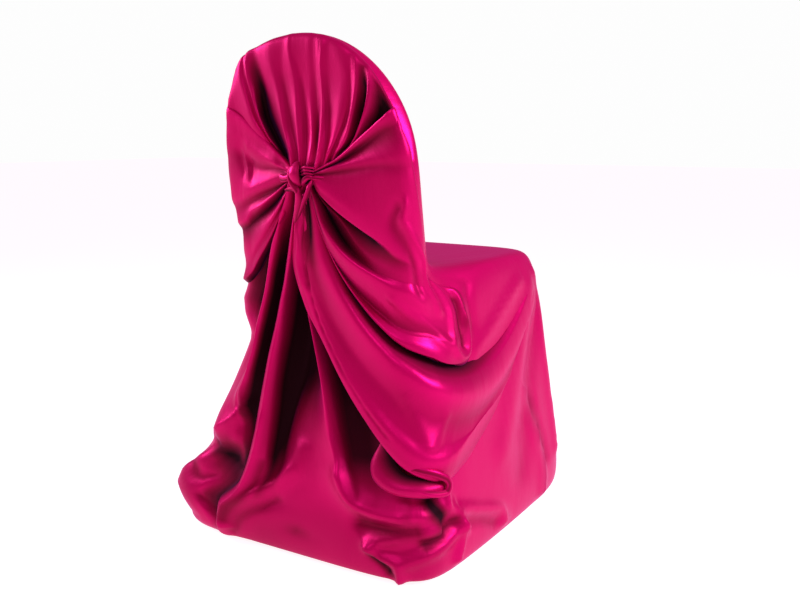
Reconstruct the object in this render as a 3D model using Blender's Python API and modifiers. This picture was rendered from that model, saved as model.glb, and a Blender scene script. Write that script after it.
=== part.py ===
"""Satin cover for a round-backed banquet chair, tied behind the back with its own sash.

The cover is one sewn bag of cloth: a hood over the chair's back, a seat panel and a skirt to the
floor. A wide sash wing is sewn into each side seam of the hood. Both wings are drawn to a knot in
the middle of the back, a back drape hangs in a swag from the knot to the front corner of the seat,
and the sash ends hang below. The chair is not part of the object, so the cover is hollow.

Units are metres, +Z is up and the chair faces +Y. Sizes are written from the floor and from the
middle of the seat. The finished pieces are then moved so that the origin lies inside the hood,
under its top, where the chair's top rail carries the cloth.
"""

from collections import namedtuple

import bmesh
import bpy
import numpy as np

# ---------------------------------------------------------------- driving sizes
CLOTH = 0.0015  # thickness of every sheet
CREST_Y = -0.286  # the hood's top line, from the middle of the seat
SHOULDER_Z = 0.675  # where the round top of the back begins
ARCH_RISE = 0.232  # from the shoulders to the top
SEAT_Z = 0.516
HOOD_FRONT_Y = -0.194  # front face of the hood where it meets the seat
CREST_SHARE = 0.987  # how much of the rise the smooth crest reaches
TOP_Z = SHOULDER_Z + CREST_SHARE * ARCH_RISE - CLOTH  # inside the hood's top
ORIGIN = np.array([0.0, CREST_Y, TOP_Z])

COLUMNS_ROUND = 64  # facets round the cover
ROWS_DOWN = 28  # rows of points from the crest to the hem

# ---------------------------------------------------------------- the cover's sections
# One row for each level, from the crest down to the hem. skirt is how far the section has opened
# from the thin hood (0) to the wide skirt (1); arch is its share of the round top.
Section = namedtuple("Section", "skirt rear_z front_z arch left right rear_y front_y")
SECTIONS = [
    Section(0.00, SHOULDER_Z, SHOULDER_Z, 1.00, 0.182, 0.197, CREST_Y, CREST_Y),
    Section(0.00, SHOULDER_Z, SHOULDER_Z, 1.00, 0.196, 0.212, -0.306, -0.258),
    Section(0.00, 0.645, 0.645, 0.86, 0.199, 0.214, -0.301, -0.247),
    Section(0.00, 0.605, 0.605, 0.62, 0.194, 0.212, -0.292, -0.235),
    Section(0.00, 0.570, 0.570, 0.36, 0.187, 0.209, -0.282, -0.221),
    Section(0.00, 0.530, 0.535, 0.12, 0.180, 0.206, -0.274, -0.207),
    Section(0.04, 0.495, 0.525, 0.00, 0.178, 0.204, -0.269, HOOD_FRONT_Y),
    Section(0.25, 0.465, SEAT_Z, 0.00, 0.180, 0.204, -0.268, 0.198),
    Section(0.50, 0.435, SEAT_Z, 0.00, 0.183, 0.204, -0.269, 0.198),
    Section(0.75, 0.405, SEAT_Z, 0.00, 0.187, 0.206, -0.272, 0.201),
    Section(0.93, 0.375, SEAT_Z, 0.00, 0.193, 0.211, -0.277, 0.212),
    Section(1.00, 0.330, 0.498, 0.00, 0.204, 0.220, -0.286, 0.235),
    Section(1.00, 0.255, 0.385, 0.00, 0.228, 0.232, -0.298, 0.258),
    Section(1.00, 0.170, 0.235, 0.00, 0.264, 0.247, -0.312, 0.282),
    Section(1.00, 0.090, 0.110, 0.00, 0.300, 0.260, -0.325, 0.303),
    Section(1.00, 0.030, 0.035, 0.00, 0.314, 0.264, -0.331, 0.311),
    Section(1.00, 0.002, 0.002, 0.00, 0.304, 0.255, -0.325, 0.304),
    Section(1.00, 0.008, 0.008, 0.00, 0.286, 0.237, -0.307, 0.286),
]

# Half of a section, from the middle of the rear round one side to the middle of the front: the
# shares of its half width and depth at each column, and the place "across" that names the column.
Column = namedtuple("Column", "hood_x hood_y skirt_x skirt_y across")
COLUMNS = [
    Column(0.00, 0.00, 0.00, 0.00, 0.000),
    Column(0.27, 0.00, 0.28, 0.00, 0.062),
    Column(0.52, 0.00, 0.56, 0.00, 0.124),
    Column(0.75, 0.00, 0.84, 0.01, 0.186),
    Column(0.93, 0.02, 1.00, 0.06, 0.235),
    Column(1.00, 0.50, 1.02, 0.22, 0.330),
    Column(0.93, 0.98, 1.02, 0.45, 0.460),
    Column(0.75, 1.00, 1.00, 0.72, 0.610),
    Column(0.52, 1.00, 0.96, 0.98, 0.760),
    Column(0.27, 1.00, 0.50, 1.00, 0.880),
    Column(0.00, 1.00, 0.00, 1.00, 1.000),
]
HALF = len(COLUMNS) - 1
FRONT_FROM, FRONT_OVER = 3.5, 2.5  # the columns over which rear heights turn into front heights
SIDE_FROM = 0.35  # the across value past which a place lies on the side or the front
SEAT_END_ROW = 9.0  # the row of the seat panel's edge


def smooth_step(value):
    """0 below 0, 1 above 1, and an even S between."""
    t = np.clip(value, 0.0, 1.0)
    return t * t * (3.0 - 2.0 * t)


def section_points(section):
    """The control points of one section, all the way round."""
    hood_x, hood_y, skirt_x, skirt_y, _ = np.array(COLUMNS).T
    front_y = HOOD_FRONT_Y if section.skirt else section.front_y
    front = smooth_step((np.arange(HALF + 1) - FRONT_FROM) / FRONT_OVER)
    height = section.rear_z + (section.front_z - section.rear_z) * front
    height = height + section.arch * ARCH_RISE * np.sqrt(1.0 - hood_x**2)
    depth = section.rear_y + (front_y - section.rear_y) * hood_y
    skirt_depth = section.rear_y + (section.front_y - section.rear_y) * skirt_y
    y = (1.0 - section.skirt) * depth + section.skirt * skirt_depth
    share_x = (1.0 - section.skirt) * hood_x + section.skirt * skirt_x
    right = np.column_stack([share_x * section.right, y, height])
    left = np.column_stack([-share_x * section.left, y, height])
    return np.vstack([right, left[HALF - 1 : 0 : -1]])


NET = np.array([section_points(section) for section in SECTIONS])


# ---------------------------------------------------------------- the smooth form under the folds
def spline_weights(place, count, closed):
    """Weights of a uniform cubic B-spline at each place, over count control points."""
    first = np.floor(place).astype(int)
    if not closed:
        first = np.clip(first, -1, count - 1)
    t = place - first
    four = [(1 - t) ** 3, 3 * t**3 - 6 * t**2 + 4, -3 * t**3 + 3 * t**2 + 3 * t + 1, t**3]
    weights = np.zeros((len(place), count))
    rows = np.arange(len(place))
    for k, part in enumerate(four):
        column = first + k - 1
        column = column % count if closed else np.clip(column, 0, count - 1)
        np.add.at(weights, (rows, column), part / 6.0)
    return weights


def form_points(around, down):
    """Points of the smooth form at pairs of net places."""
    weights_down = spline_weights(down, NET.shape[0], closed=False)
    weights_around = spline_weights(around, NET.shape[1], closed=True)
    return np.einsum("nr,rcx,nc->nx", weights_down, NET, weights_around)


def form_normals(around, down):
    """Outward unit normals of the smooth form."""
    step = 0.02
    along = form_points(around + step, down) - form_points(around - step, down)
    fall = form_points(around, down + step) - form_points(around, down - step)
    normal = np.cross(fall, along)
    size = np.linalg.norm(normal, axis=1, keepdims=True)
    return normal / np.maximum(size, 1e-9)


def across_at(around):
    """The across value at each place round the form: negative on the left, 0 at the rear."""
    signed = (around + HALF) % (2 * HALF) - HALF
    names = [column.across for column in COLUMNS]
    return np.sign(signed) * np.interp(np.abs(signed), range(HALF + 1), names)


def find_place(across, height):
    """The net places where the form has these across values and heights above the floor."""
    names = [column.across for column in COLUMNS]
    around = np.sign(across) * np.interp(np.abs(across), names, range(HALF + 1))
    # On the sides the seat is level over some rows, so the search starts below them.
    beside_seat = (np.abs(across) > SIDE_FROM) & (height < SEAT_Z - 0.01)
    low = np.where(beside_seat, SEAT_END_ROW, 0.0)
    high = np.full(len(across), len(SECTIONS) - 3.0)
    for _ in range(24):
        middle = (low + high) / 2.0
        above = form_points(around, middle)[:, 2] > height
        low, high = np.where(above, middle, low), np.where(above, high, middle)
    return around, (low + high) / 2.0


def over_form(across, height, stand):
    """Points that stand this far off the form."""
    around, down = find_place(across, height)
    return form_points(around, down) + form_normals(around, down) * stand[:, None]


# ---------------------------------------------------------------- folds of the cover itself
# A fold runs along its path of (across, height) points. Its crest stands off the form by rise at
# its middle, or sinks in where rise is negative, and it fades out over width to each side.
Fold = namedtuple("Fold", "name rise width path")
FOLDS = [
    Fold("pleat left", 0.007, 0.022, [(-0.060, 0.88), (-0.056, 0.80), (-0.040, 0.71)]),
    Fold("pleat middle", 0.008, 0.018, [(0.010, 0.89), (0.010, 0.80), (0.004, 0.70)]),
    Fold("pleat right", 0.007, 0.022, [(0.100, 0.87), (0.100, 0.80), (0.070, 0.72)]),
    Fold("column left", 0.012, 0.026, [(-0.11, 0.53), (-0.14, 0.43), (-0.15, 0.33), (-0.18, 0.20)]),
    Fold("column middle", 0.016, 0.026, [(-0.07, 0.54), (-0.10, 0.40), (-0.10, 0.25), (-0.12, 0.06)]),
    Fold("hollow middle", -0.036, 0.034, [(-0.045, 0.44), (-0.045, 0.31), (-0.055, 0.16)]),
    Fold("column right", 0.014, 0.026, [(0.00, 0.42), (0.03, 0.29), (0.075, 0.18), (0.14, 0.12)]),
    Fold("hollow right", -0.030, 0.032, [(0.06, 0.38), (0.10, 0.28), (0.14, 0.21)]),
    Fold("side fall", 0.010, 0.050, [(0.60, 0.44), (0.52, 0.28), (0.46, 0.12)]),
    Fold("corner fall", 0.008, 0.034, [(0.66, 0.44), (0.64, 0.25), (0.68, 0.06)]),
    Fold("left side fall", 0.014, 0.045, [(-0.33, 0.44), (-0.36, 0.28), (-0.40, 0.08)]),
    Fold("left corner fall", 0.012, 0.040, [(-0.60, 0.42), (-0.62, 0.24), (-0.66, 0.06)]),
    Fold("front fall left", 0.008, 0.045, [(-0.86, 0.40), (-0.86, 0.22), (-0.84, 0.06)]),
    Fold("front fall right", 0.008, 0.045, [(0.88, 0.40), (0.90, 0.22), (0.93, 0.06)]),
]
PATH_STEPS = 12  # steps between two points of a path
CREST_ROWS = 1.2  # rows below the crest over which the folds begin


def curve_through(points, steps):
    """A Catmull-Rom curve through the points, with this many steps between each two."""
    points = np.array(points, float)
    ends = np.vstack([2 * points[0] - points[1], points, 2 * points[-1] - points[-2]])
    t = (np.arange(steps) / steps)[:, None]
    pieces = []
    for a, b, c, d in zip(ends[:-3], ends[1:-2], ends[2:-1], ends[3:]):
        bend = 2 * a - 5 * b + 4 * c - d
        turn = 3 * b - a - 3 * c + d
        pieces.append(0.5 * (2 * b + (c - a) * t + bend * t**2 + turn * t**3))
    return np.vstack([*pieces, points[-1:]])


def fold_stand(across, height):
    """How far the folds lift the cover off its form at each place."""
    place = np.column_stack([across, height])[:, None]
    stand = np.zeros(len(across))
    for fold in FOLDS:
        path = curve_through(fold.path, PATH_STEPS)
        distance = np.linalg.norm(place - path, axis=2).min(axis=1)
        stand += fold.rise * np.exp(-((distance / fold.width) ** 2))
    return stand


# ---------------------------------------------------------------- sheets laid over the cover
# Each sheet is lofted through ribs that run from the knot outwards. A rib's stations are listed
# as (across, height above the floor, stand off the form).
SASH_RIGHT = [
    [(0.020, 0.686, 0.030), (0.105, 0.722, 0.014), (0.185, 0.764, 0.011),
     (0.206, 0.772, 0.012), (0.222, 0.778, 0.012)],
    [(0.024, 0.682, 0.044), (0.108, 0.708, 0.038), (0.195, 0.738, 0.022),
     (0.226, 0.742, 0.015), (0.252, 0.742, 0.014)],
    [(0.027, 0.673, 0.046), (0.108, 0.672, 0.034), (0.200, 0.676, 0.022),
     (0.262, 0.678, 0.016), (0.320, 0.668, 0.014)],
    [(0.027, 0.664, 0.046), (0.098, 0.635, 0.038), (0.195, 0.612, 0.026),
     (0.268, 0.605, 0.014), (0.350, 0.605, 0.012)],
    [(0.025, 0.656, 0.044), (0.082, 0.600, 0.040), (0.170, 0.550, 0.030),
     (0.262, 0.540, 0.017), (0.352, 0.545, 0.012)],
    [(0.023, 0.650, 0.034), (0.070, 0.585, 0.017), (0.160, 0.526, 0.020),
     (0.260, 0.510, 0.018), (0.358, 0.512, 0.012)],
    [(0.021, 0.645, 0.042), (0.058, 0.556, 0.040), (0.150, 0.490, 0.038),
     (0.262, 0.468, 0.028), (0.375, 0.462, 0.012)],
    [(0.018, 0.640, 0.042), (0.052, 0.530, 0.036), (0.142, 0.450, 0.034),
     (0.262, 0.420, 0.028), (0.385, 0.415, 0.012)],
    [(0.015, 0.636, 0.030), (0.046, 0.512, 0.012), (0.130, 0.418, 0.012),
     (0.258, 0.376, 0.014), (0.385, 0.372, 0.012)],
]
SASH_LEFT = [
    [(-0.020, 0.686, 0.030), (-0.068, 0.718, 0.014), (-0.130, 0.752, 0.011),
     (-0.186, 0.772, 0.012), (-0.222, 0.776, 0.012)],
    [(-0.024, 0.680, 0.044), (-0.074, 0.700, 0.038), (-0.136, 0.724, 0.022),
     (-0.206, 0.738, 0.015), (-0.250, 0.742, 0.014)],
    [(-0.027, 0.672, 0.046), (-0.080, 0.672, 0.040), (-0.142, 0.680, 0.028),
     (-0.240, 0.684, 0.016), (-0.320, 0.670, 0.014)],
    [(-0.026, 0.662, 0.044), (-0.078, 0.644, 0.040), (-0.142, 0.628, 0.028),
     (-0.248, 0.618, 0.014), (-0.350, 0.618, 0.012)],
    [(-0.024, 0.655, 0.036), (-0.074, 0.624, 0.018), (-0.136, 0.598, 0.016),
     (-0.246, 0.582, 0.014), (-0.350, 0.582, 0.012)],
    [(-0.021, 0.648, 0.040), (-0.068, 0.600, 0.034), (-0.128, 0.566, 0.028),
     (-0.242, 0.545, 0.014), (-0.352, 0.545, 0.012)],
    [(-0.018, 0.642, 0.030), (-0.062, 0.582, 0.012), (-0.118, 0.542, 0.011),
     (-0.236, 0.512, 0.010), (-0.352, 0.515, 0.012)],
]
BACK_DRAPE = [
    [(0.010, 0.630, 0.024), (0.046, 0.500, 0.0075), (0.130, 0.404, 0.0075),
     (0.250, 0.360, 0.0075), (0.440, 0.360, 0.012), (0.636, 0.455, 0.008)],
    [(0.006, 0.628, 0.030), (0.030, 0.488, 0.030), (0.118, 0.376, 0.036),
     (0.262, 0.312, 0.036), (0.440, 0.292, 0.030), (0.632, 0.440, 0.008)],
    [(0.002, 0.626, 0.032), (0.012, 0.474, 0.030), (0.106, 0.344, 0.030),
     (0.252, 0.262, 0.024), (0.428, 0.266, 0.020), (0.628, 0.424, 0.008)],
    [(-0.003, 0.624, 0.032), (-0.008, 0.468, 0.030), (0.094, 0.316, 0.032),
     (0.244, 0.212, 0.030), (0.412, 0.240, 0.026), (0.624, 0.408, 0.008)],
    [(-0.008, 0.622, 0.030), (-0.026, 0.466, 0.026), (0.080, 0.292, 0.026),
     (0.240, 0.166, 0.024), (0.404, 0.204, 0.016), (0.620, 0.392, 0.008)],
]
SASH_TAIL = [
    [(-0.014, 0.641, 0.056), (-0.022, 0.612, 0.050),
     (-0.020, 0.582, 0.044), (-0.026, 0.556, 0.040)],
    [(-0.005, 0.640, 0.066), (-0.010, 0.612, 0.062),
     (-0.012, 0.582, 0.054), (-0.018, 0.552, 0.048)],
    [(0.004, 0.641, 0.056), (0.000, 0.614, 0.050), (-0.004, 0.584, 0.044), (-0.008, 0.550, 0.042)],
    [(0.010, 0.642, 0.062), (0.008, 0.618, 0.054), (0.002, 0.590, 0.046), (0.000, 0.558, 0.044)],
]
LOFT_ACROSS, LOFT_ALONG = 2, 4  # facets between two ribs and between two stations
CLEAR = 0.008  # sheets stay at least this far off the cover's own folds

KNOT_AT = (-0.002, 0.666, 0.050)  # across, height and stand of the knot's middle
KNOT_HALF = np.array([0.017, 0.016, 0.020])  # half width, depth and height
KNOT_GROOVE = 0.12  # depth of its grooves as a share of its size
KNOT_TURNS = 3  # grooves round it


def loft(ribs, facets_across, facets_along):
    """A grid of (across, height, stand) rows, smooth through the ribs and their stations."""
    ribs = np.array(ribs)
    along = np.array([curve_through(rib, facets_along) for rib in ribs])
    return np.stack([curve_through(row, facets_across) for row in along.swapaxes(0, 1)], axis=1)


# ---------------------------------------------------------------- Blender helpers
def clear_scene():
    for leftover in list(bpy.data.objects):
        bpy.data.objects.remove(leftover, do_unlink=True)


def satin(name, colour):
    """A satin finish in one colour."""
    material = bpy.data.materials.new(name)
    material.use_nodes = True
    shader = material.node_tree.nodes["Principled BSDF"]
    shader.inputs["Base Color"].default_value = (*colour, 1.0)
    shader.inputs["Roughness"].default_value = 0.32
    shader.inputs["Metallic"].default_value = 0.0
    return material


def mesh_object(name, mesh_builder, material, collection):
    """A new object in the collection, whose mesh the builder fills."""
    mesh = bpy.data.meshes.new(name)
    shape = bmesh.new()
    mesh_builder(shape)
    shape.to_mesh(mesh)
    shape.free()
    mesh.shade_smooth()
    piece = bpy.data.objects.new(name, mesh)
    piece.data.materials.append(material)
    collection.objects.link(piece)
    return piece


def grid_shape(shape, points):
    """Lays a grid primitive of the same size over a (rows, columns, 3) array of points."""
    rows, columns = points.shape[:2]
    bmesh.ops.create_grid(shape, x_segments=columns - 1, y_segments=rows - 1, size=1.0)
    shape.verts.ensure_lookup_table()
    for vert, point in zip(shape.verts, points.reshape(-1, 3) - ORIGIN):
        vert.co = point


def thicken(piece, inward):
    """Gives an open sheet its thickness. inward leaves the outer face where it is."""
    solidify = piece.modifiers.new("cloth", "SOLIDIFY")
    solidify.thickness = CLOTH
    solidify.offset = -1.0 if inward else 0.0
    solidify.use_quality_normals = True
    return piece


# ---------------------------------------------------------------- the pieces
def build_cover(material, collection):
    """The one-piece cover: hood, seat panel and skirt, open underneath."""
    columns = np.arange(COLUMNS_ROUND + 1) * (2.0 * HALF / COLUMNS_ROUND)
    rows = np.linspace(-1.0, len(SECTIONS), ROWS_DOWN)
    around, down = np.meshgrid(columns, rows)
    around, down = around.ravel(), down.ravel()
    points = form_points(around, down)
    stand = fold_stand(across_at(around), points[:, 2]) * smooth_step((down + 0.9) / CREST_ROWS)
    surface = points + form_normals(around, down) * stand[:, None]
    surface = surface.reshape(ROWS_DOWN, COLUMNS_ROUND + 1, 3)

    def build(shape):
        grid_shape(shape, surface)
        bmesh.ops.remove_doubles(shape, verts=shape.verts, dist=0.0001)
        bmesh.ops.recalc_face_normals(shape, faces=shape.faces)

    return thicken(mesh_object("cover", build, material, collection), inward=True)


def build_sheet(name, ribs, material, collection):
    """A sash wing or drape: a sheet lofted through its ribs over the cover."""
    table = loft(ribs, LOFT_ACROSS, LOFT_ALONG)
    rows, columns = table.shape[:2]
    across, height, stand = table.reshape(-1, 3).T
    stand = np.maximum(stand, fold_stand(across, height) + CLEAR)
    points = over_form(across, height, stand).reshape(rows, columns, 3)

    def build(shape):
        grid_shape(shape, points)
        bmesh.ops.recalc_face_normals(shape, faces=shape.faces)

    return thicken(mesh_object(name, build, material, collection), inward=False)


def build_knot(material, collection):
    """The knot: a small puffed ball with grooves that wind round it."""
    across, height, stand = KNOT_AT
    centre = over_form(np.array([across]), np.array([height]), np.array([stand]))[0]

    def build(shape):
        bmesh.ops.create_uvsphere(shape, u_segments=18, v_segments=10, radius=1.0)
        for vert in shape.verts:
            x, y, z = vert.co
            turn = np.arctan2(x, -y) * KNOT_TURNS + 4.0 * z
            size = 1.0 + KNOT_GROOVE * np.sin(turn) * (1.0 - z * z)
            vert.co = np.array([x, y, z]) * KNOT_HALF * size + centre - ORIGIN

    return mesh_object("sash_knot", build, material, collection)


def main():
    clear_scene()
    collection = bpy.data.collections.new("chair_cover_with_sash")
    bpy.context.scene.collection.children.link(collection)
    cover_satin = satin("cover_satin", (0.48, 0.004, 0.09))
    sash_satin = satin("sash_satin", (0.50, 0.004, 0.10))
    build_cover(cover_satin, collection)
    build_sheet("sash_wing_left", SASH_LEFT, sash_satin, collection)
    build_sheet("sash_wing_right", SASH_RIGHT, sash_satin, collection)
    build_sheet("back_drape", BACK_DRAPE, cover_satin, collection)
    build_sheet("sash_tail", SASH_TAIL, sash_satin, collection)
    build_knot(sash_satin, collection)


main()
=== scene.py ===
"""The visible model of a satin chair cover with a sash, laid on the frame of its solids.

The cloth is shaped in "cover places", all in millimetres: how far a point lies across the cover
(0 at the middle of the rear, positive to the right, 1000 at the middle of the front), how high it
is above the floor, and how far it stands off a smooth form. Folds are short tables of them.
"""

import logging
from collections.abc import Sequence
from dataclasses import dataclass, field
from enum import Enum
from functools import cached_property

import bpy
import numpy as np
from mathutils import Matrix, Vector


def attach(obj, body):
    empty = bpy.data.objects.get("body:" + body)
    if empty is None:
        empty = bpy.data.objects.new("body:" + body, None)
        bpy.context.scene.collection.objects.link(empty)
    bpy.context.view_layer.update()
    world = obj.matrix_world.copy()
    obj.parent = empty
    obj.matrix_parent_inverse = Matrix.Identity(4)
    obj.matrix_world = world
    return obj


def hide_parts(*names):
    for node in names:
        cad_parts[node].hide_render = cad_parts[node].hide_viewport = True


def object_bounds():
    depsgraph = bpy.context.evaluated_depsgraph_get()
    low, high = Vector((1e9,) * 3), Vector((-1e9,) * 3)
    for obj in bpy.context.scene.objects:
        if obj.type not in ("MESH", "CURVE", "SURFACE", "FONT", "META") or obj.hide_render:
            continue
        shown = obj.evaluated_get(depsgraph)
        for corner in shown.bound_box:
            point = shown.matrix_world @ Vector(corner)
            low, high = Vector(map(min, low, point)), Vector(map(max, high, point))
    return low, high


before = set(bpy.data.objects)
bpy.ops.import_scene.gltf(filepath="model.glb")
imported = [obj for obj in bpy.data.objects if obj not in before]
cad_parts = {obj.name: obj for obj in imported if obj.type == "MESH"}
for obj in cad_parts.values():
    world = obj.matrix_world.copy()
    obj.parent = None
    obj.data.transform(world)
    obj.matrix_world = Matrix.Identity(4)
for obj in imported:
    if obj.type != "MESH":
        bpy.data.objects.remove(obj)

log = logging.getLogger("chair_cover")
Array = np.ndarray
Colour = tuple[float, float, float]
Place = tuple[float, float, float]  # across, height and stand, in millimetres
Pair = tuple[float, float]
Mark = tuple[float, float]  # a place along something, and a value there

CAD_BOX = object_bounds()
FLOOR_Z = float(CAD_BOX[0][2])
MILLIMETRE = 0.001
CLOTH = 0.0009  # thickness of the satin
FLOOR_GAP = 0.0015  # how far the hem clears the floor

# ------------------------------------------------------------------ the form under the cloth
CREST_Y = -0.286  # the hood's top line, from the middle of the seat
SHOULDER_Z = 0.675
ARCH_RISE = 0.232
SEAT_Z = 0.516
HOOD_FRONT_Y = -0.194


@dataclass(frozen=True)
class Section:
    """One level of the form, from the crest down to the hem."""

    skirt: float  # 0 for the thin hood, 1 for the wide skirt
    rear_z: float
    front_z: float
    arch: float  # share of the round top
    left: float
    right: float
    rear_y: float
    front_y: float


@dataclass(frozen=True)
class Column:
    """One place round half of a section, as shares of its half width and depth."""

    hood_x: float
    hood_y: float
    skirt_x: float
    skirt_y: float
    across: float


SECTIONS = (
    Section(0.00, SHOULDER_Z, SHOULDER_Z, 1.00, 0.182, 0.197, CREST_Y, CREST_Y),
    Section(0.00, SHOULDER_Z, SHOULDER_Z, 1.00, 0.196, 0.212, -0.306, -0.258),
    Section(0.00, 0.645, 0.645, 0.86, 0.199, 0.214, -0.301, -0.247),
    Section(0.00, 0.605, 0.605, 0.62, 0.194, 0.212, -0.292, -0.235),
    Section(0.00, 0.570, 0.570, 0.36, 0.187, 0.209, -0.282, -0.221),
    Section(0.00, 0.530, 0.535, 0.12, 0.180, 0.206, -0.274, -0.207),
    Section(0.04, 0.495, 0.525, 0.00, 0.178, 0.204, -0.269, HOOD_FRONT_Y),
    Section(0.25, 0.465, SEAT_Z, 0.00, 0.180, 0.204, -0.268, 0.198),
    Section(0.50, 0.435, SEAT_Z, 0.00, 0.183, 0.204, -0.269, 0.198),
    Section(0.75, 0.405, SEAT_Z, 0.00, 0.187, 0.206, -0.272, 0.201),
    Section(0.93, 0.375, SEAT_Z, 0.00, 0.193, 0.211, -0.277, 0.212),
    Section(1.00, 0.330, 0.498, 0.00, 0.204, 0.220, -0.286, 0.235),
    Section(1.00, 0.255, 0.385, 0.00, 0.228, 0.232, -0.298, 0.258),
    Section(1.00, 0.170, 0.235, 0.00, 0.264, 0.247, -0.312, 0.282),
    Section(1.00, 0.090, 0.110, 0.00, 0.300, 0.260, -0.325, 0.303),
    Section(1.00, 0.030, 0.035, 0.00, 0.314, 0.264, -0.331, 0.311),
    Section(1.00, 0.002, 0.002, 0.00, 0.304, 0.255, -0.325, 0.304),
    Section(1.00, 0.008, 0.008, 0.00, 0.286, 0.237, -0.307, 0.286),
)
COLUMNS = (
    Column(0.00, 0.00, 0.00, 0.00, 0.000),
    Column(0.27, 0.00, 0.28, 0.00, 0.062),
    Column(0.52, 0.00, 0.56, 0.00, 0.124),
    Column(0.75, 0.00, 0.84, 0.01, 0.186),
    Column(0.93, 0.02, 1.00, 0.06, 0.235),
    Column(1.00, 0.50, 1.02, 0.22, 0.330),
    Column(0.93, 0.98, 1.02, 0.45, 0.460),
    Column(0.75, 1.00, 1.00, 0.72, 0.610),
    Column(0.52, 1.00, 0.96, 0.98, 0.760),
    Column(0.27, 1.00, 0.50, 1.00, 0.880),
    Column(0.00, 1.00, 0.00, 1.00, 1.000),
)

# Height, and how far the left rear edge leans to the right there.
LEFT_EDGE = (
    (0, 4), (30, 12), (75, -20), (112, 2), (150, 8), (200, 12), (280, 16), (340, 20), (375, 22),
    (410, 0), (440, -8), (480, 0), (520, 9), (560, 11), (628, 7), (700, 17), (750, 12), (800, 0),
)


def smooth_step(value: Array | float) -> Array:
    """Return 0 below 0, 1 above 1, and an even S between."""
    t = np.clip(value, 0.0, 1.0)
    return t * t * (3.0 - 2.0 * t)


def run_of(steps: Array) -> Array:
    """Return the running total of a row of steps, from 0."""
    return np.concatenate([[0.0], np.cumsum(steps)])


def curve_through(points: Sequence, steps: int) -> Array:
    """Return a Catmull-Rom curve.

    Args:
        points: The points that it passes through, in millimetres.
        steps: How many steps it takes between each two.

    Returns:
        The curve's points in metres, one row each.
    """
    points = np.array(points, float)
    ends = np.vstack([2 * points[0] - points[1], points, 2 * points[-1] - points[-2]])
    t = (np.arange(steps) / steps)[:, None]
    pieces = []
    for a, b, c, d in zip(ends[:-3], ends[1:-2], ends[2:-1], ends[3:]):
        bend = 2 * a - 5 * b + 4 * c - d
        turn = 3 * b - a - 3 * c + d
        pieces.append(0.5 * (2 * b + (c - a) * t + bend * t**2 + turn * t**3))
    return np.vstack([*pieces, points[-1:]]) * MILLIMETRE


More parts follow.
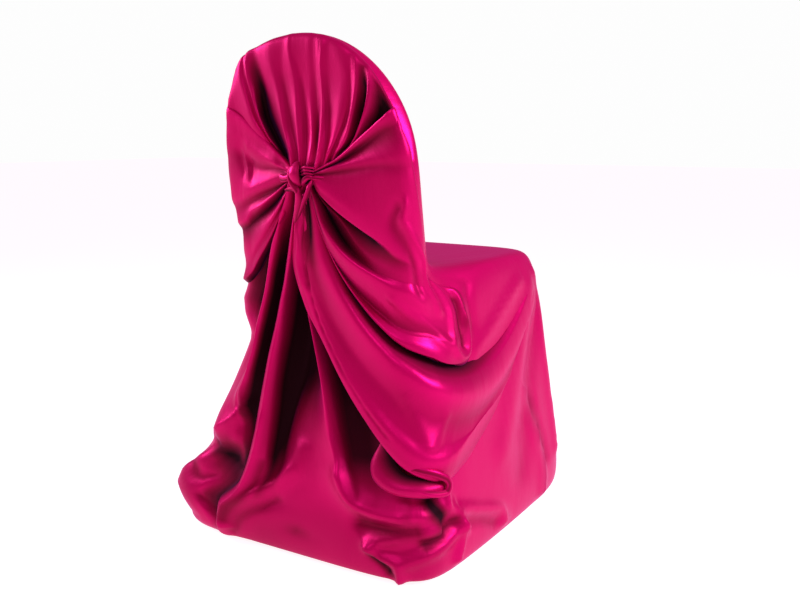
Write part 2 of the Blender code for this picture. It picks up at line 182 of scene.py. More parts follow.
@dataclass(frozen=True)
class Form:
    """The smooth form under the cloth: a spline surface over a net of sections and columns."""

    half: int = len(COLUMNS) - 1
    front_from: float = 3.5  # the columns over which rear heights turn into front heights
    front_over: float = 2.5
    side_from: float = 0.35  # the across value past which a place is on the side or front
    seat_end_row: float = 9.0
    seat_margin: float = 0.01
    hem_sections: int = 3  # the last sections, which turn under at the hem
    halvings: int = 18  # in the search for a height
    probe: float = 0.02  # step to each side when a normal is taken
    edge_from: float = 0.10  # how far left the lean of the rear edge begins
    edge_over: float = 0.07
    edge_rear_y: float = -0.24
    edge_rear_over: float = 0.15
    flat_shoulder: Pair = (-0.115, 0.87)  # x and z of the flatter left shoulder
    flat_reach: Pair = (0.075, 0.05)
    flat_shift: Pair = (-0.020, 0.007)
    origin: tuple[float, float, float] = (0.0, CREST_Y, -FLOOR_Z)

    @cached_property
    def net(self) -> Array:
        """Return the control points, one row of them for each section."""
        return np.array([self._section_points(section) for section in SECTIONS])

    @cached_property
    def column_places(self) -> list[float]:
        """Return the across value of each column."""
        return [column.across for column in COLUMNS]

    def _section_points(self, section: Section) -> Array:
        """Work out the control points of one section.

        Args:
            section: The section.

        Returns:
            Its points all the way round, from the middle of the rear to the right.
        """
        hood_x = np.array([c.hood_x for c in COLUMNS])
        hood_y = np.array([c.hood_y for c in COLUMNS])
        skirt_x = np.array([c.skirt_x for c in COLUMNS])
        skirt_y = np.array([c.skirt_y for c in COLUMNS])
        front_y = HOOD_FRONT_Y if section.skirt else section.front_y
        front = smooth_step((np.arange(self.half + 1) - self.front_from) / self.front_over)
        height = section.rear_z + (section.front_z - section.rear_z) * front
        height = height + section.arch * ARCH_RISE * np.sqrt(1.0 - hood_x**2)
        depth = section.rear_y + (front_y - section.rear_y) * hood_y
        skirt_depth = section.rear_y + (section.front_y - section.rear_y) * skirt_y
        y = (1.0 - section.skirt) * depth + section.skirt * skirt_depth
        share = (1.0 - section.skirt) * hood_x + section.skirt * skirt_x
        right = np.column_stack([share * section.right, y, height])
        left = np.column_stack([-share * section.left, y, height])
        return np.vstack([right, left[self.half - 1 : 0 : -1]])

    @staticmethod
    def _weights(place: Array, count: int, closed: bool) -> Array:
        """Work out the weights of a uniform cubic B-spline.

        Args:
            place: Where on the spline, counted in its points.
            count: How many points it has.
            closed: Whether it runs round into itself.

        Returns:
            A row for each place, with the weight of each point.
        """
        first = np.floor(place).astype(int)
        if not closed:
            first = np.clip(first, -1, count - 1)
        t = place - first
        four = ((1 - t) ** 3, 3 * t**3 - 6 * t**2 + 4, -3 * t**3 + 3 * t**2 + 3 * t + 1, t**3)
        weights = np.zeros((len(place), count))
        rows = np.arange(len(place))
        for k, part in enumerate(four):
            column = first + k - 1
            column = column % count if closed else np.clip(column, 0, count - 1)
            np.add.at(weights, (rows, column), part / 6.0)
        return weights

    def points(self, around: Array, down: Array) -> Array:
        """Work out points of the form.

        Args:
            around: Their places round it, in columns.
            down: Their places down it, in sections.

        Returns:
            The points, with z from the floor.
        """
        by_row = self._weights(down, self.net.shape[0], closed=False)
        by_column = self._weights(around, self.net.shape[1], closed=True)
        rows = np.tensordot(by_row, self.net, axes=(1, 0))
        points = np.einsum("ncx,nc->nx", rows, by_column)
        return points + self._left_edge_shift(points)

    def _left_edge_shift(self, points: Array) -> Array:
        """Work out how the slack left rear edge leans in or out.

        Args:
            points: Points of the form.

        Returns:
            The shift of each.
        """
        x, y, z = points.T
        heights, shifts = np.array(LEFT_EDGE).T * MILLIMETRE
        lean = np.interp(z, heights, shifts)
        near_edge = smooth_step((-x - self.edge_from) / self.edge_over)
        behind = 1.0 - smooth_step((y - self.edge_rear_y) / self.edge_rear_over)
        aside = (x - self.flat_shoulder[0]) / self.flat_reach[0]
        above = (z - self.flat_shoulder[1]) / self.flat_reach[1]
        top = np.exp(-(aside**2 + above**2))
        shift = np.zeros_like(points)
        shift[:, 0] = lean * near_edge * behind + self.flat_shift[0] * top
        shift[:, 2] = self.flat_shift[1] * top
        return shift

    def normals(self, around: Array, down: Array) -> Array:
        """Work out the form's outward unit normals.

        Args:
            around: The places round it.
            down: The places down it.

        Returns:
            The normals, one row each.
        """
        step = self.probe
        along = self.points(around + step, down) - self.points(around - step, down)
        fall = self.points(around, down + step) - self.points(around, down - step)
        normal = np.cross(fall, along)
        return normal / np.maximum(np.linalg.norm(normal, axis=1, keepdims=True), 1e-9)

    def across(self, around: Array) -> Array:
        """Work out how far across the cover places round the form are.

        Args:
            around: The places round it, in columns.

        Returns:
            The across values, in metres.
        """
        signed = (around + self.half) % (2 * self.half) - self.half
        places = np.interp(np.abs(signed), range(self.half + 1), self.column_places)
        return np.sign(signed) * places

    def around(self, across: Array) -> Array:
        """Return the place round the form of each across value."""
        places = np.interp(np.abs(across), self.column_places, range(self.half + 1))
        return np.sign(across) * places

    def down(self, around: Array, height: Array) -> Array:
        """Find the places down the form that have these heights.

        Args:
            around: The places round it.
            height: The heights from the floor, in metres.

        Returns:
            The places down it, in sections.
        """
        beside_seat = np.abs(around) > self.around(self.side_from)
        low_down = height < SEAT_Z - self.seat_margin
        low = np.where(beside_seat & low_down, self.seat_end_row, 0.0)
        high = np.full(len(around), float(len(SECTIONS) - self.hem_sections))
        for _ in range(self.halvings):
            middle = (low + high) / 2.0
            above = self.points(around, middle)[:, 2] > height
            low, high = np.where(above, middle, low), np.where(above, high, middle)
        return (low + high) / 2.0

    def off(self, around: Array, down: Array, stand: Array) -> Array:
        """Work out points that stand off the form.

        Args:
            around: Their places round it.
            down: Their places down it.
            stand: How far off it they stand, in metres.

        Returns:
            The points in the frame.
        """
        points = self.points(around, down) + self.normals(around, down) * stand[:, None]
        return points - np.array(self.origin)


FORM = Form()


def above_floor(points: Array) -> Array:
    """Return points of the frame with none lower than the hem may hang."""
    points[:, 2] = np.maximum(points[:, 2], FLOOR_Z + FLOOR_GAP)
    return points


# ------------------------------------------------------------------ folds
class Crease(Enum):
    """How round the cloth is where it turns along a fold."""

    ROUND = 1.15
    SOFT = 0.85
    TIGHT = 0.45
    SHARP = 0.15


@dataclass(frozen=True)
class Fold:
    """A line of the cloth along which it turns.

    Attributes:
        name: What it is.
        crease: How round it is.
        path: Its places. On the cover's own cloth they run down from the crest.
        shade: The shade painted into its colour, from 0 in the open to 1 in a hollow. Where that
        changes, a table of it: on a sheet, by the share of its run from the knot, and on
        the cover, by the height, from the lowest.
    """

    name: str
    crease: Crease
    path: tuple[Place, ...]
    shade: float | tuple[Mark, ...] = 0.0

    def shades(self, run: Array) -> Array:
        """Work out the shade along the fold.

        Args:
            run: Where along it, in the terms of its table.

        Returns:
            The shade at each.
        """
        if not isinstance(self.shade, tuple):
            return np.full(len(run), float(self.shade))
        places, values = np.array(self.shade).T
        return np.interp(run, places, values)


@dataclass(frozen=True)
class SoftFold:
    """A soft fold raised or sunk over its path of (across, height), all in millimetres, with shade
    painted along it.
    """

    rise: float
    width: float
    path: tuple[Pair, ...]
    # shade painted into the colour along the fold
    painted_shade: float = 0.0
    steps: int = 12  # along each part of the path
    reach: float = 3.0  # how many widths from the path it is looked for

    def weight(self, place: Array) -> Array:
        """Work out how much of the fold is at each place.

        Args:
            place: Rows of across value and height, in metres.

        Returns:
            The weight at each, 1 on the path and near 0 past twice the width.
        """
        path = curve_through(self.path, self.steps)
        width = self.width * MILLIMETRE
        reach = self.reach * width
        low, high = path.min(axis=0) - reach, path.max(axis=0) + reach
        near = ((place > low) & (place < high)).all(axis=1)
        weight = np.zeros(len(place))
        distance = np.linalg.norm(place[near][:, None] - path, axis=2).min(axis=1)
        weight[near] = np.exp(-((distance / width) ** 2))
        return weight


def across_folds(values: Array, roundness: Array, between: int) -> Array:
    """Return values carried smoothly from fold to fold.

    Args:
        values: One row of values for each fold.
        roundness: Each fold's roundness.
        between: How many steps are taken from one fold to the next.

    Returns:
        The values at all steps, one row each.
    """
    spread = (-1, *([1] * (values.ndim - 1)))
    change = np.empty_like(values)
    change[1:-1] = (values[2:] - values[:-2]) / 2
    change[0], change[-1] = values[1] - values[0], values[-1] - values[-2]
    change = change * roundness.reshape(spread)
    t = (np.arange(between) / between).reshape(spread)
    rows = []
    for k in range(len(values) - 1):
        rows.append(
            values[k] * (2 * t**3 - 3 * t**2 + 1)
            + change[k] * (t**3 - 2 * t**2 + t)
            + values[k + 1] * (3 * t**2 - 2 * t**3)
            + change[k + 1] * (t**3 - t**2)
        )
    return np.concatenate([*rows, values[-1:]])


def roundness_of(folds: Sequence[Fold]) -> Array:
    """Return how round each fold is."""
    return np.array([fold.crease.value for fold in folds])


def even_run(path: Array, count: int) -> Array:
    """Take a path at even steps of its length across and down the cover.

    Args:
        path: Its places, one row each.
        count: How many places are wanted.

    Returns:
        The places at even steps.
    """
    run = run_of(np.linalg.norm(np.diff(path[:, :2], axis=0), axis=1))
    places = np.linspace(0.0, run[-1], count)
    return np.column_stack([np.interp(places, run, column) for column in path.T])


# ------------------------------------------------------------------ shader maths
class Socket:
    """A shader socket that can be used in arithmetic."""

    def __init__(self, nodes: "Nodes", out: bpy.types.NodeSocket) -> None:
        """Wrap an output socket of a node tree.

        Args:
            nodes: The tree.
            out: The output socket.
        """
        self.nodes = nodes
        self.out = out

    def _math(self, operation: str, *values: "Socket | float") -> "Socket":
        """Return a Math node's result on these values."""
        return self.nodes.add("ShaderNodeMath", {"operation": operation}, dict(enumerate(values)))

    def __add__(self, other: "Socket | float") -> "Socket":
        """Return the sum."""
        return self._math("ADD", self, other)

    def __sub__(self, other: "Socket | float") -> "Socket":
        """Return the difference."""
        return self._math("SUBTRACT", self, other)

    def __rsub__(self, other: float) -> "Socket":
        """Return the difference from a number."""
        return self._math("SUBTRACT", other, self)

    def __mul__(self, other: "Socket | float") -> "Socket":
        """Return the product."""
        return self._math("MULTIPLY", self, other)

    __radd__ = __add__
    __rmul__ = __mul__


class Nodes:
    """The node tree of a material, or of the air round the cover."""

    def __init__(self, owner: bpy.types.Material | bpy.types.World) -> None:
        """Empty the owner's tree and keep it.

        Args:
            owner: What the tree belongs to.
        """
        owner.use_nodes = True
        self.tree = owner.node_tree
        self.tree.nodes.clear()

    def node(self, kind: str, settings: dict, values: dict) -> bpy.types.Node:
        """Make a node.

        Args:
            kind: The node's type.
            settings: Its settings, and a ramp's stops under "stops".
            values: Values or links of its input sockets, by name or number.

        Returns:
            The node.
        """
        node = self.tree.nodes.new(kind)
        for name, value in settings.items():
            if name == "stops":
                self._set_stops(node.color_ramp, value)
            else:
                setattr(node, name, value)
        for name, value in values.items():
            if isinstance(value, Socket):
                self.tree.links.new(value.out, node.inputs[name])
            else:
                node.inputs[name].default_value = value
        return node

    def add(self, kind: str, settings: dict, values: dict, out: int | str = 0) -> Socket:
        """Make a node and keep one of its outputs.

        Args:
            kind: The node's type.
            settings: Its settings.
            values: Values or links of its input sockets.
            out: The output that is wanted, by name or number.

        Returns:
            That output.
        """
        return Socket(self, self.node(kind, settings, values).outputs[out])

    @staticmethod
    def _set_stops(ramp: bpy.types.ColorRamp, stops: Sequence) -> None:
        """Give a ramp its stops.

        Args:
            ramp: The ramp.
            stops: A place and a colour for each.
        """
        while len(ramp.elements) < len(stops):
            ramp.elements.new(1.0)
        for element, (place, colour) in zip(ramp.elements, stops):
            element.position = place
            element.color = (*colour, 1.0)


@dataclass(frozen=True)
class SatinFinish:
    """Glossy polyester satin, with shade painted into its colour: darker and redder down in its
    folds, near black in its hollows.
    """

    name: str
    open_colour: Colour = (0.530, 0.0012, 0.086)
    # the colours of the painted shade, in the folds and in the hollows
    fold_shade_colour: Colour = (0.230, 0.0010, 0.028)
    hollow_shade_colour: Colour = (0.012, 0.0020, 0.002)
    fold_shade_stop: float = 0.45  # the painted shades at which the fold's and the hollow's shade colours are full
    hollow_shade_stop: float = 0.95
    cloud_scale: float = 9.0
    cloud: float = 0.10  # how unevenly the colour lies
    roughness: float = 0.34
    fold_roughness: float = 0.35  # added in the deepest hollows
    metallic: float = 0.48
    sheen: float = 0.08
    sheen_roughness: float = 0.35
    sheen_tint: Colour = (0.9, 0.10, 0.8)
    gloss: float = 0.15
    gloss_tint: Colour = (1.0, 0.34, 0.66)
    crinkle: float = 0.35  # strength of the fine crinkles
    crinkle_scale: float = 26.0
    crinkle_height: float = 0.004
    crinkle_stretch: tuple[float, float, float] = (1.0, 0.35, 1.0)
    weave_scale: float = 900.0
    weave_height: float = 0.03  # against the crinkles
    weave_gloss: float = 0.10  # how much the weave varies the roughness

    def make(self) -> bpy.types.Material:
        """Make the material.

        Returns:
            The material.
        """
        material = bpy.data.materials.new(self.name)
        nodes = Nodes(material)
        # the shade painted into the colour, read from each point of the cloth
        shade = nodes.add("ShaderNodeAttribute", {"attribute_name": "shade"}, {}, "Fac")
        crinkles, weave = self._threads(nodes)
        bump = {
            "Strength": self.crinkle,
            "Distance": self.crinkle_height,
            "Height": crinkles + weave * self.weave_height,
        }
        rough = self.roughness + (weave - 0.5) * self.weave_gloss
        satin = {
            "Base Color": self._colour(nodes, shade),
            "Roughness": shade * self.fold_roughness + rough,
            "Metallic": self.metallic,
            "Sheen Weight": self.sheen,
            "Sheen Roughness": self.sheen_roughness,
            "Sheen Tint": (*self.sheen_tint, 1.0),
            "Specular Tint": (*self.gloss_tint, 1.0),
            "Specular IOR Level": self.gloss,
            "Normal": nodes.add("ShaderNodeBump", {}, bump, "Normal"),
        }
        shader = nodes.add("ShaderNodeBsdfPrincipled", {}, satin, "BSDF")
        nodes.node("ShaderNodeOutputMaterial", {}, {"Surface": shader})
        return material

    def _colour(self, nodes: Nodes, shade: Socket) -> Socket:
        """Paint shade into the satin's colour, darker and redder in its folds and near black in
        its hollows.

        Args:
            nodes: The material's tree.
            shade: The shade painted at each point.

        Returns:
            The colour.
        """
        place = nodes.add("ShaderNodeTexCoord", {}, {}, "Object")
        cloudy = nodes.add(
            "ShaderNodeTexNoise",
            {},
            {"Vector": place, "Scale": self.cloud_scale, "Detail": 2.0},
            "Fac",
        )
        stops = (
            (0.0, self.open_colour),
            (self.fold_shade_stop, self.fold_shade_colour),
            (self.hollow_shade_stop, self.hollow_shade_colour),
        )
        depth = shade + (cloudy - 0.5) * self.cloud
        return nodes.add("ShaderNodeValToRGB", {"stops": stops}, {"Fac": depth}, "Color")

    def _threads(self, nodes: Nodes) -> tuple[Socket, Socket]:
        """Lay crinkles and a weave along the cloth's threads.

        Args:
            nodes: The material's tree.

        Returns:
            The height of the crinkles and of the weave.
        """
        threads = nodes.add("ShaderNodeUVMap", {"uv_map": "threads"}, {}, "UV")
        stretched = nodes.add(
            "ShaderNodeMapping", {}, {"Vector": threads, "Scale": self.crinkle_stretch}, "Vector"
        )
        crinkle = {
            "Vector": stretched,
            "Scale": self.crinkle_scale,
            "Detail": 3.0,
            "Roughness": 0.5,
        }
        weave = {"Vector": stretched, "Scale": self.weave_scale, "Detail": 1.0}
        return (
            nodes.add("ShaderNodeTexNoise", {}, crinkle, "Fac"),
            nodes.add("ShaderNodeTexNoise", {}, weave, "Fac"),
        )


COVER_SATIN = SatinFinish("cover_satin_cloth")
SASH_SATIN = SatinFinish("sash_satin_cloth")


# ------------------------------------------------------------------ pieces of cloth
def select_only(pieces: Sequence[bpy.types.Object] = ()) -> None:
    """Deselect everything, then select some pieces.

    Args:
        pieces: The pieces. The first one becomes active.
    """
    bpy.ops.object.select_all(action="DESELECT")
    for piece in pieces:
        piece.select_set(True)
    if pieces:
        bpy.context.view_layer.objects.active = pieces[0]


def new_grid(name: str, points: Array, shades: Array) -> bpy.types.Object:
    """Model a sheet from a grid primitive.

    Args:
        name: The piece's name.
        points: A rows x columns x 3 array of places in the frame.
        shades: A rows x columns array of the shade painted at each point.

    Returns:
        The sheet, with its shade attribute and its thread map.
    """
    rows, columns = points.shape[:2]
    select_only()
    bpy.ops.mesh.primitive_grid_add(x_subdivisions=columns - 1, y_subdivisions=rows - 1, size=1.0)
    piece = bpy.context.active_object
    piece.name = piece.data.name = name
    mesh = piece.data
    mesh.vertices.foreach_set("co", points.reshape(-1).astype(np.float32))
    # the painted shade, which darkens the satin's colour
    depth = mesh.attributes.new("shade", "FLOAT", "POINT")
    depth.data.foreach_set("value", shades.reshape(-1).astype(np.float32))
    map_threads(mesh, points)
    bpy.ops.object.shade_smooth()
    return piece


def map_threads(mesh: bpy.types.Mesh, points: Array) -> None:
    """Map the threads in metres along and across a sheet.

    Args:
        mesh: The sheet's mesh, a grid.
        points: The grid's points.
    """
    across = run_of(np.linalg.norm(np.diff(points, axis=1), axis=2).mean(axis=0))
    down = run_of(np.linalg.norm(np.diff(points, axis=0), axis=2).mean(axis=1))
    grid = np.stack(np.meshgrid(across, down), axis=-1).reshape(-1, 2)
    corner = np.empty(len(mesh.loops), np.int32)
    mesh.loops.foreach_get("vertex_index", corner)
    while mesh.uv_layers:
        mesh.uv_layers.remove(mesh.uv_layers[0])
    threads = mesh.uv_layers.new(name="threads")
    threads.data.foreach_set("uv", grid[corner].reshape(-1).astype(np.float32))


def give_thickness(piece: bpy.types.Object, offset: float) -> None:
    """Give a sheet the satin's thickness and apply it.

    Args:
        piece: The sheet.
        offset: 0 to thicken it to both sides, -1 to thicken it inwards.
    """
    solidify = piece.modifiers.new("cloth", "SOLIDIFY")
    solidify.thickness = CLOTH
    solidify.offset = offset
    solidify.use_quality_normals = False
    bpy.context.view_layer.objects.active = piece
    bpy.ops.object.modifier_apply(modifier=solidify.name)


def turn_outwards(piece: bpy.types.Object, merge: bool, within: float = 0.00005) -> None:
    """Turn all faces of a piece the same way, outwards.

    Args:
        piece: The piece.
        merge: Whether doubled points are merged first, as where a seam or a pole closes.
        within: How near to each other doubled points are.
    """
    bpy.context.view_layer.objects.active = piece
    bpy.ops.object.mode_set(mode="EDIT")
    bpy.ops.mesh.select_all(action="SELECT")
    if merge:
        bpy.ops.mesh.remove_doubles(threshold=within)
    bpy.ops.mesh.normals_make_consistent(inside=False)
    bpy.ops.object.mode_set(mode="OBJECT")


class Slot(Enum):
    """Names for the finishes that could be changed, which the pieces only store."""

    COVER = "cover_satin"
    SASH = "sash_satin"


class Held(Enum):
    """How a sheet is held in its form."""

    DRAPED = "draped"
    GATHERED = "gathered"


@dataclass(kw_only=True)
class ClothPiece:
    """One piece of satin.

    Attributes:
        name: The piece's name.
        finish: Its material.
        slot: The finish slot named for it; not used.
        node: The solid that it shows in place of, if it does.
        flat: Its width and length in metres when cut, if it is a sheet.
        held: How it is held, if it is a sheet; not used.
        rests_on: What it lies on or hangs from, if it is a sheet; not used.
        piece: The piece itself, once it is built.
    """

    name: str
    finish: bpy.types.Material
    slot: Slot
    node: str | None = None
    flat: Pair | None = None
    held: Held = Held.GATHERED
    rests_on: str = "cover_cloth"
    piece: bpy.types.Object | None = field(default=None, init=False)

    def dress(self) -> None:
        """Give the piece its finish, hang it from the root, hide the solid that it shows in place
        of, and log its faces.
        """
        self.piece.data.materials.clear()
        self.piece.data.materials.append(self.finish)
        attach(self.piece, "root")
        if self.node:
            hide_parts(self.node)
        if self.flat:
            self.declare_sheet()
        log.info("%s: %d faces", self.name, len(self.piece.data.polygons))

    def declare_sheet(self) -> None:
        """Do nothing: how the sheet was cut and how it is held is only kept in its fields."""


@dataclass(kw_only=True)
class FoldedSheet(ClothPiece):
    """A sheet laid over the form, folded along lines that start at the knot.

    Attributes:
        folds: Its folds, from its upper edge to its lower one.
        dents: Soft folds laid over them.
        stations: How many places are taken along each fold.
        between: How many steps are taken from fold to fold.
        gathers: Depth of the fine gathers at the knot, in millimetres.
        gather_count: How many gathers there are.
        gather_start: How far from the knot they are full, in metres.
        gather_reach: How far they reach from it, in metres.
        gather_shade: How much shade is painted into their valleys.
        waver: How unevenly they are spaced.
        waver_rate: How fast their spacing varies.
        steps: Steps along each part of a fold's path.
    """

    folds: tuple[Fold, ...]
    dents: tuple[SoftFold, ...] = ()
    stations: int = 110
    between: int = 8
    gathers: float = 0.0
    gather_count: float = 9.0
    gather_start: float = 0.015
    gather_reach: float = 0.055
    gather_shade: float = 0.35
    waver: float = 2.0
    waver_rate: float = 11.0
    steps: int = 12

    def build(self) -> None:
        """Loft the sheet through its folds."""
        log.debug("%s: %s", self.name, ", ".join(fold.name for fold in self.folds))
        paths = [curve_through(fold.path, self.steps) for fold in self.folds]
        runs = np.array([even_run(path, self.stations) for path in paths])
        table = across_folds(runs, roundness_of(self.folds), self.between)
        run = np.linspace(0.0, 1.0, self.stations)
        shades = np.array([fold.shades(run) for fold in self.folds])
        shade = across_folds(shades, np.zeros(len(shades)), self.between)
        if self.gathers:
            self._gather(table, shade)
        for dent in self.dents:
            weight = dent.weight(table[..., :2].reshape(-1, 2)).reshape(shade.shape)
            table[..., 2] += dent.rise * MILLIMETRE * weight
            # shade painted along the dent
            shade = np.maximum(shade, dent.painted_shade * weight)
        across, height, stand = table.reshape(-1, 3).T
        around = FORM.around(across)
        points = above_floor(FORM.off(around, FORM.down(around, height), stand))
        self.piece = new_grid(self.name, points.reshape(table.shape), shade)
        turn_outwards(self.piece, merge=False)
        give_thickness(self.piece, 0.0)

    def _gather(self, table: Array, shade: Array) -> None:
        """Lift the fine gathers near the knot and paint shade into their valleys.

        Args:
            table: The sheet's places, from fold to fold and along each fold.
            shade: Their painted shades.
        """
        steps = np.linalg.norm(np.diff(table[..., :2], axis=1), axis=2)
        run = np.concatenate([np.zeros((len(table), 1)), np.cumsum(steps, axis=1)], axis=1)
        share = np.linspace(0.0, 1.0, len(table))[:, None]
        uneven = self.waver * np.sin(self.waver_rate * share)
        wave = np.cos(2.0 * np.pi * self.gather_count * share + uneven)
        fade = smooth_step(run / self.gather_start) * np.exp(-run / self.gather_reach)
        shade += self.gather_shade * fade * (0.5 - 0.5 * wave)
        table[..., 2] += self.gathers * MILLIMETRE * fade * wave


# ------------------------------------------------------------------ the knot
@dataclass(frozen=True)
class Strand:
    """A rolled-up length of cloth: a soft tube with creases along it.

    Attributes:
        name: What it is.
        path: Its places.
        wide: Its half width at even places along it, in millimetres.
        thick: Its half thickness at even places along it, in millimetres.
        creases: How many creases run round it.
        depth: The share of its thickness that a crease takes.
        twist: How many turns the creases make along it.
        shade: The shade painted into its colour.
        rings: How many rings it has.
        sides: How many sides each ring has.
        bluntness: How suddenly its ends close, an even number.
        crease_tightness: How narrow its creases are.
        crease_shade: How much shade is painted into its creases.
        steps: Steps along each part of its path.
    """

    name: str
    path: tuple[Place, ...]
    wide: tuple[float, ...]
    thick: tuple[float, ...]
    creases: int = 5
    depth: float = 0.22
    twist: float = 0.6
    shade: float = 0.0
    rings: int = 48
    sides: int = 40
    bluntness: int = 16
    crease_tightness: int = 3
    crease_shade: float = 0.55
    steps: int = 16

    def shape(self) -> tuple[Array, Array]:
        """Work out the strand's rings.

        Returns:
            Their points and shades, a row for each ring, with the last point on the first.
        """
        where = np.linspace(0.0, 1.0, self.rings)
        centre, side, out = self._course(where)
        knots = np.linspace(0.0, 1.0, len(self.wide))
        closing = np.sqrt(np.clip(1.0 - (2.0 * where - 1.0) ** self.bluntness, 0.0, 1.0))
        wide = np.interp(where, knots, self.wide) * MILLIMETRE * closing
        thick = np.interp(where, knots, self.thick) * MILLIMETRE * closing
        angle = np.linspace(0.0, 2.0 * np.pi, self.sides + 1)
        turn = self.creases * angle[None] + 2.0 * np.pi * self.twist * where[:, None]
        groove = 1.0 - self.depth * (0.5 - 0.5 * np.cos(turn)) ** self.crease_tightness
        across = (wide[:, None] * groove * np.cos(angle))[..., None] * side[:, None]
        raised = (thick[:, None] * groove * np.sin(angle))[..., None] * out[:, None]
        # shade painted into the creases
        crease = (1.0 - groove) / self.depth * self.crease_shade
        shade = np.clip(self.shade + crease, 0.0, 1.0)
        return centre[:, None] + across + raised, shade

    def _course(self, where: Array) -> tuple[Array, Array, Array]:
        """Work out the course of the strand over the form.

        Args:
            where: The places along it, as shares.

        Returns:
            Its centre, and the unit vectors to its side and outwards, at each.
        """
        across, height, stand = curve_through(self.path, self.steps).T
        around = FORM.around(across)
        down = FORM.down(around, height)
        run = np.linspace(0.0, 1.0, len(across))
        centre = FORM.off(around, down, stand)
        centre = np.column_stack([np.interp(where, run, c) for c in centre.T])
        out = FORM.normals(around, down)
        out = np.column_stack([np.interp(where, run, c) for c in out.T])
        along = np.gradient(centre, axis=0)
        along /= np.linalg.norm(along, axis=1, keepdims=True)
        side = np.cross(along, out)
        side /= np.linalg.norm(side, axis=1, keepdims=True)
        return centre, side, np.cross(side, along)


@dataclass(kw_only=True)
class TiedEnd(ClothPiece):
    """Rolled strands of cloth that make one piece, such as the knot."""

    strands: tuple[Strand, ...]

    def build(self) -> None:
        """Shape the strands and join them."""
        made = []
        for strand in self.strands:
            points, shade = strand.shape()
            piece = new_grid(f"{self.name} {strand.name}", points, shade)
            turn_outwards(piece, merge=True)
            made.append(piece)
        select_only(made)
        if len(made) > 1:
            bpy.ops.object.join()
        self.piece = bpy.context.active_object
        self.piece.name = self.name


KNOT_STRANDS = (
    Strand("loop's panel", (
        (4, 699, 33), (7, 691, 42), (8, 681, 46), (11, 670, 44), (15, 660, 38)),
        wide=(8, 10, 11, 9, 4), thick=(3, 5, 6, 5, 3),
        creases=1, depth=0.06, twist=0),
    Strand("loop's border", (
        (-3, 696, 34), (-6, 686, 42), (-5, 675, 46), (1, 665, 47), (9, 657, 47), (15, 648, 46),
        (17, 640, 44)),
        wide=(2.5, 3, 3.5, 4, 4.5, 5, 5), thick=(2.5, 3, 3.5, 4, 4, 4, 3.5),
        creases=1, depth=0.15, twist=0.2),
    Strand("upper gather", (
        (14, 689, 35), (34, 693, 42), (47, 690, 34)),
        wide=(2.2, 2.6, 1.5), thick=(3, 3.5, 2),
        creases=1, depth=0.05, twist=0, shade=0.1),
    Strand("middle gather", (
        (15, 684, 35), (33, 688, 42), (46, 685, 34)),
        wide=(2.2, 2.6, 1.5), thick=(3, 3.5, 2),
        creases=1, depth=0.05, twist=0, shade=0.15),
    Strand("lower gather", (
        (16, 679, 35), (33, 683, 42), (44, 680, 34)),
        wide=(2.2, 2.6, 1.5), thick=(3, 3.5, 2),
        creases=1, depth=0.05, twist=0, shade=0.2),
    Strand("small loop", (
        (45, 674, 36), (37, 676, 43), (29, 671, 45), (21, 663, 41)),
        wide=(2.5, 4, 4.5, 3), thick=(3, 4, 4, 3),
        creases=2, depth=0.15, twist=0.2, shade=0.1),
    Strand("tucked end", (
        (-37, 650, 26), (-16, 654, 32), (2, 652, 35)),
        wide=(3, 4.5, 3), thick=(3, 4, 3),
        creases=2, depth=0.2, shade=0.3),
    Strand("left neck", (
        (-46, 672, 26), (-26, 672, 33), (-6, 677, 38)),
        wide=(8, 6, 5), thick=(5, 5, 4),
        creases=3, depth=0.2, twist=0.1),
    Strand("right neck", (
        (68, 672, 28), (53, 674, 36), (41, 675, 40)),
        wide=(5, 4, 2.5), thick=(5, 4, 3),
        creases=2, depth=0.2, twist=0.1),
    # a dark strand inside the knot that stands for the shade between its folds
    Strand("inside", (
        (-27, 672, 24), (10, 676, 31), (36, 680, 26)),
        wide=(14, 16, 12), thick=(7, 8, 7),
        creases=1, depth=0.05, shade=0.9),
)
TAIL_STRANDS = (
    Strand("left fold", (
        (10, 660, 42), (15, 651, 46), (16, 639, 46), (11, 625, 45), (3, 611, 43), (-5, 598, 40)),
        wide=(4.5, 7, 9, 8.5, 5.5, 1.4), thick=(3, 4, 4, 3.5, 2.5, 1.2),
        creases=1, depth=0.25, twist=0.15),
    Strand("right fold", (
        (43, 672, 37), (40, 661, 44), (35, 649, 46), (26, 635, 46), (14, 618, 44), (0, 602, 41)),
        wide=(2.5, 4, 4.5, 4, 3, 1.2), thick=(3, 4, 4, 3.5, 2.5, 1.2),
        creases=1, depth=0.2, twist=0.1),
)
CURL_STRANDS = (
    Strand("rolled hem", (
        (185, 207, 16), (207, 200, 26), (226, 191, 29), (241, 174, 29), (236, 160, 27),
        (218, 161, 25), (199, 171, 22), (190, 180, 18)),
        wide=(4, 6, 7, 6, 6, 6, 5, 3), thick=(4, 5, 6, 5, 5, 5, 4, 3),
        creases=2, depth=0.15, twist=0.3, rings=90),
)

ROUND, SOFT, TIGHT, SHARP = Crease

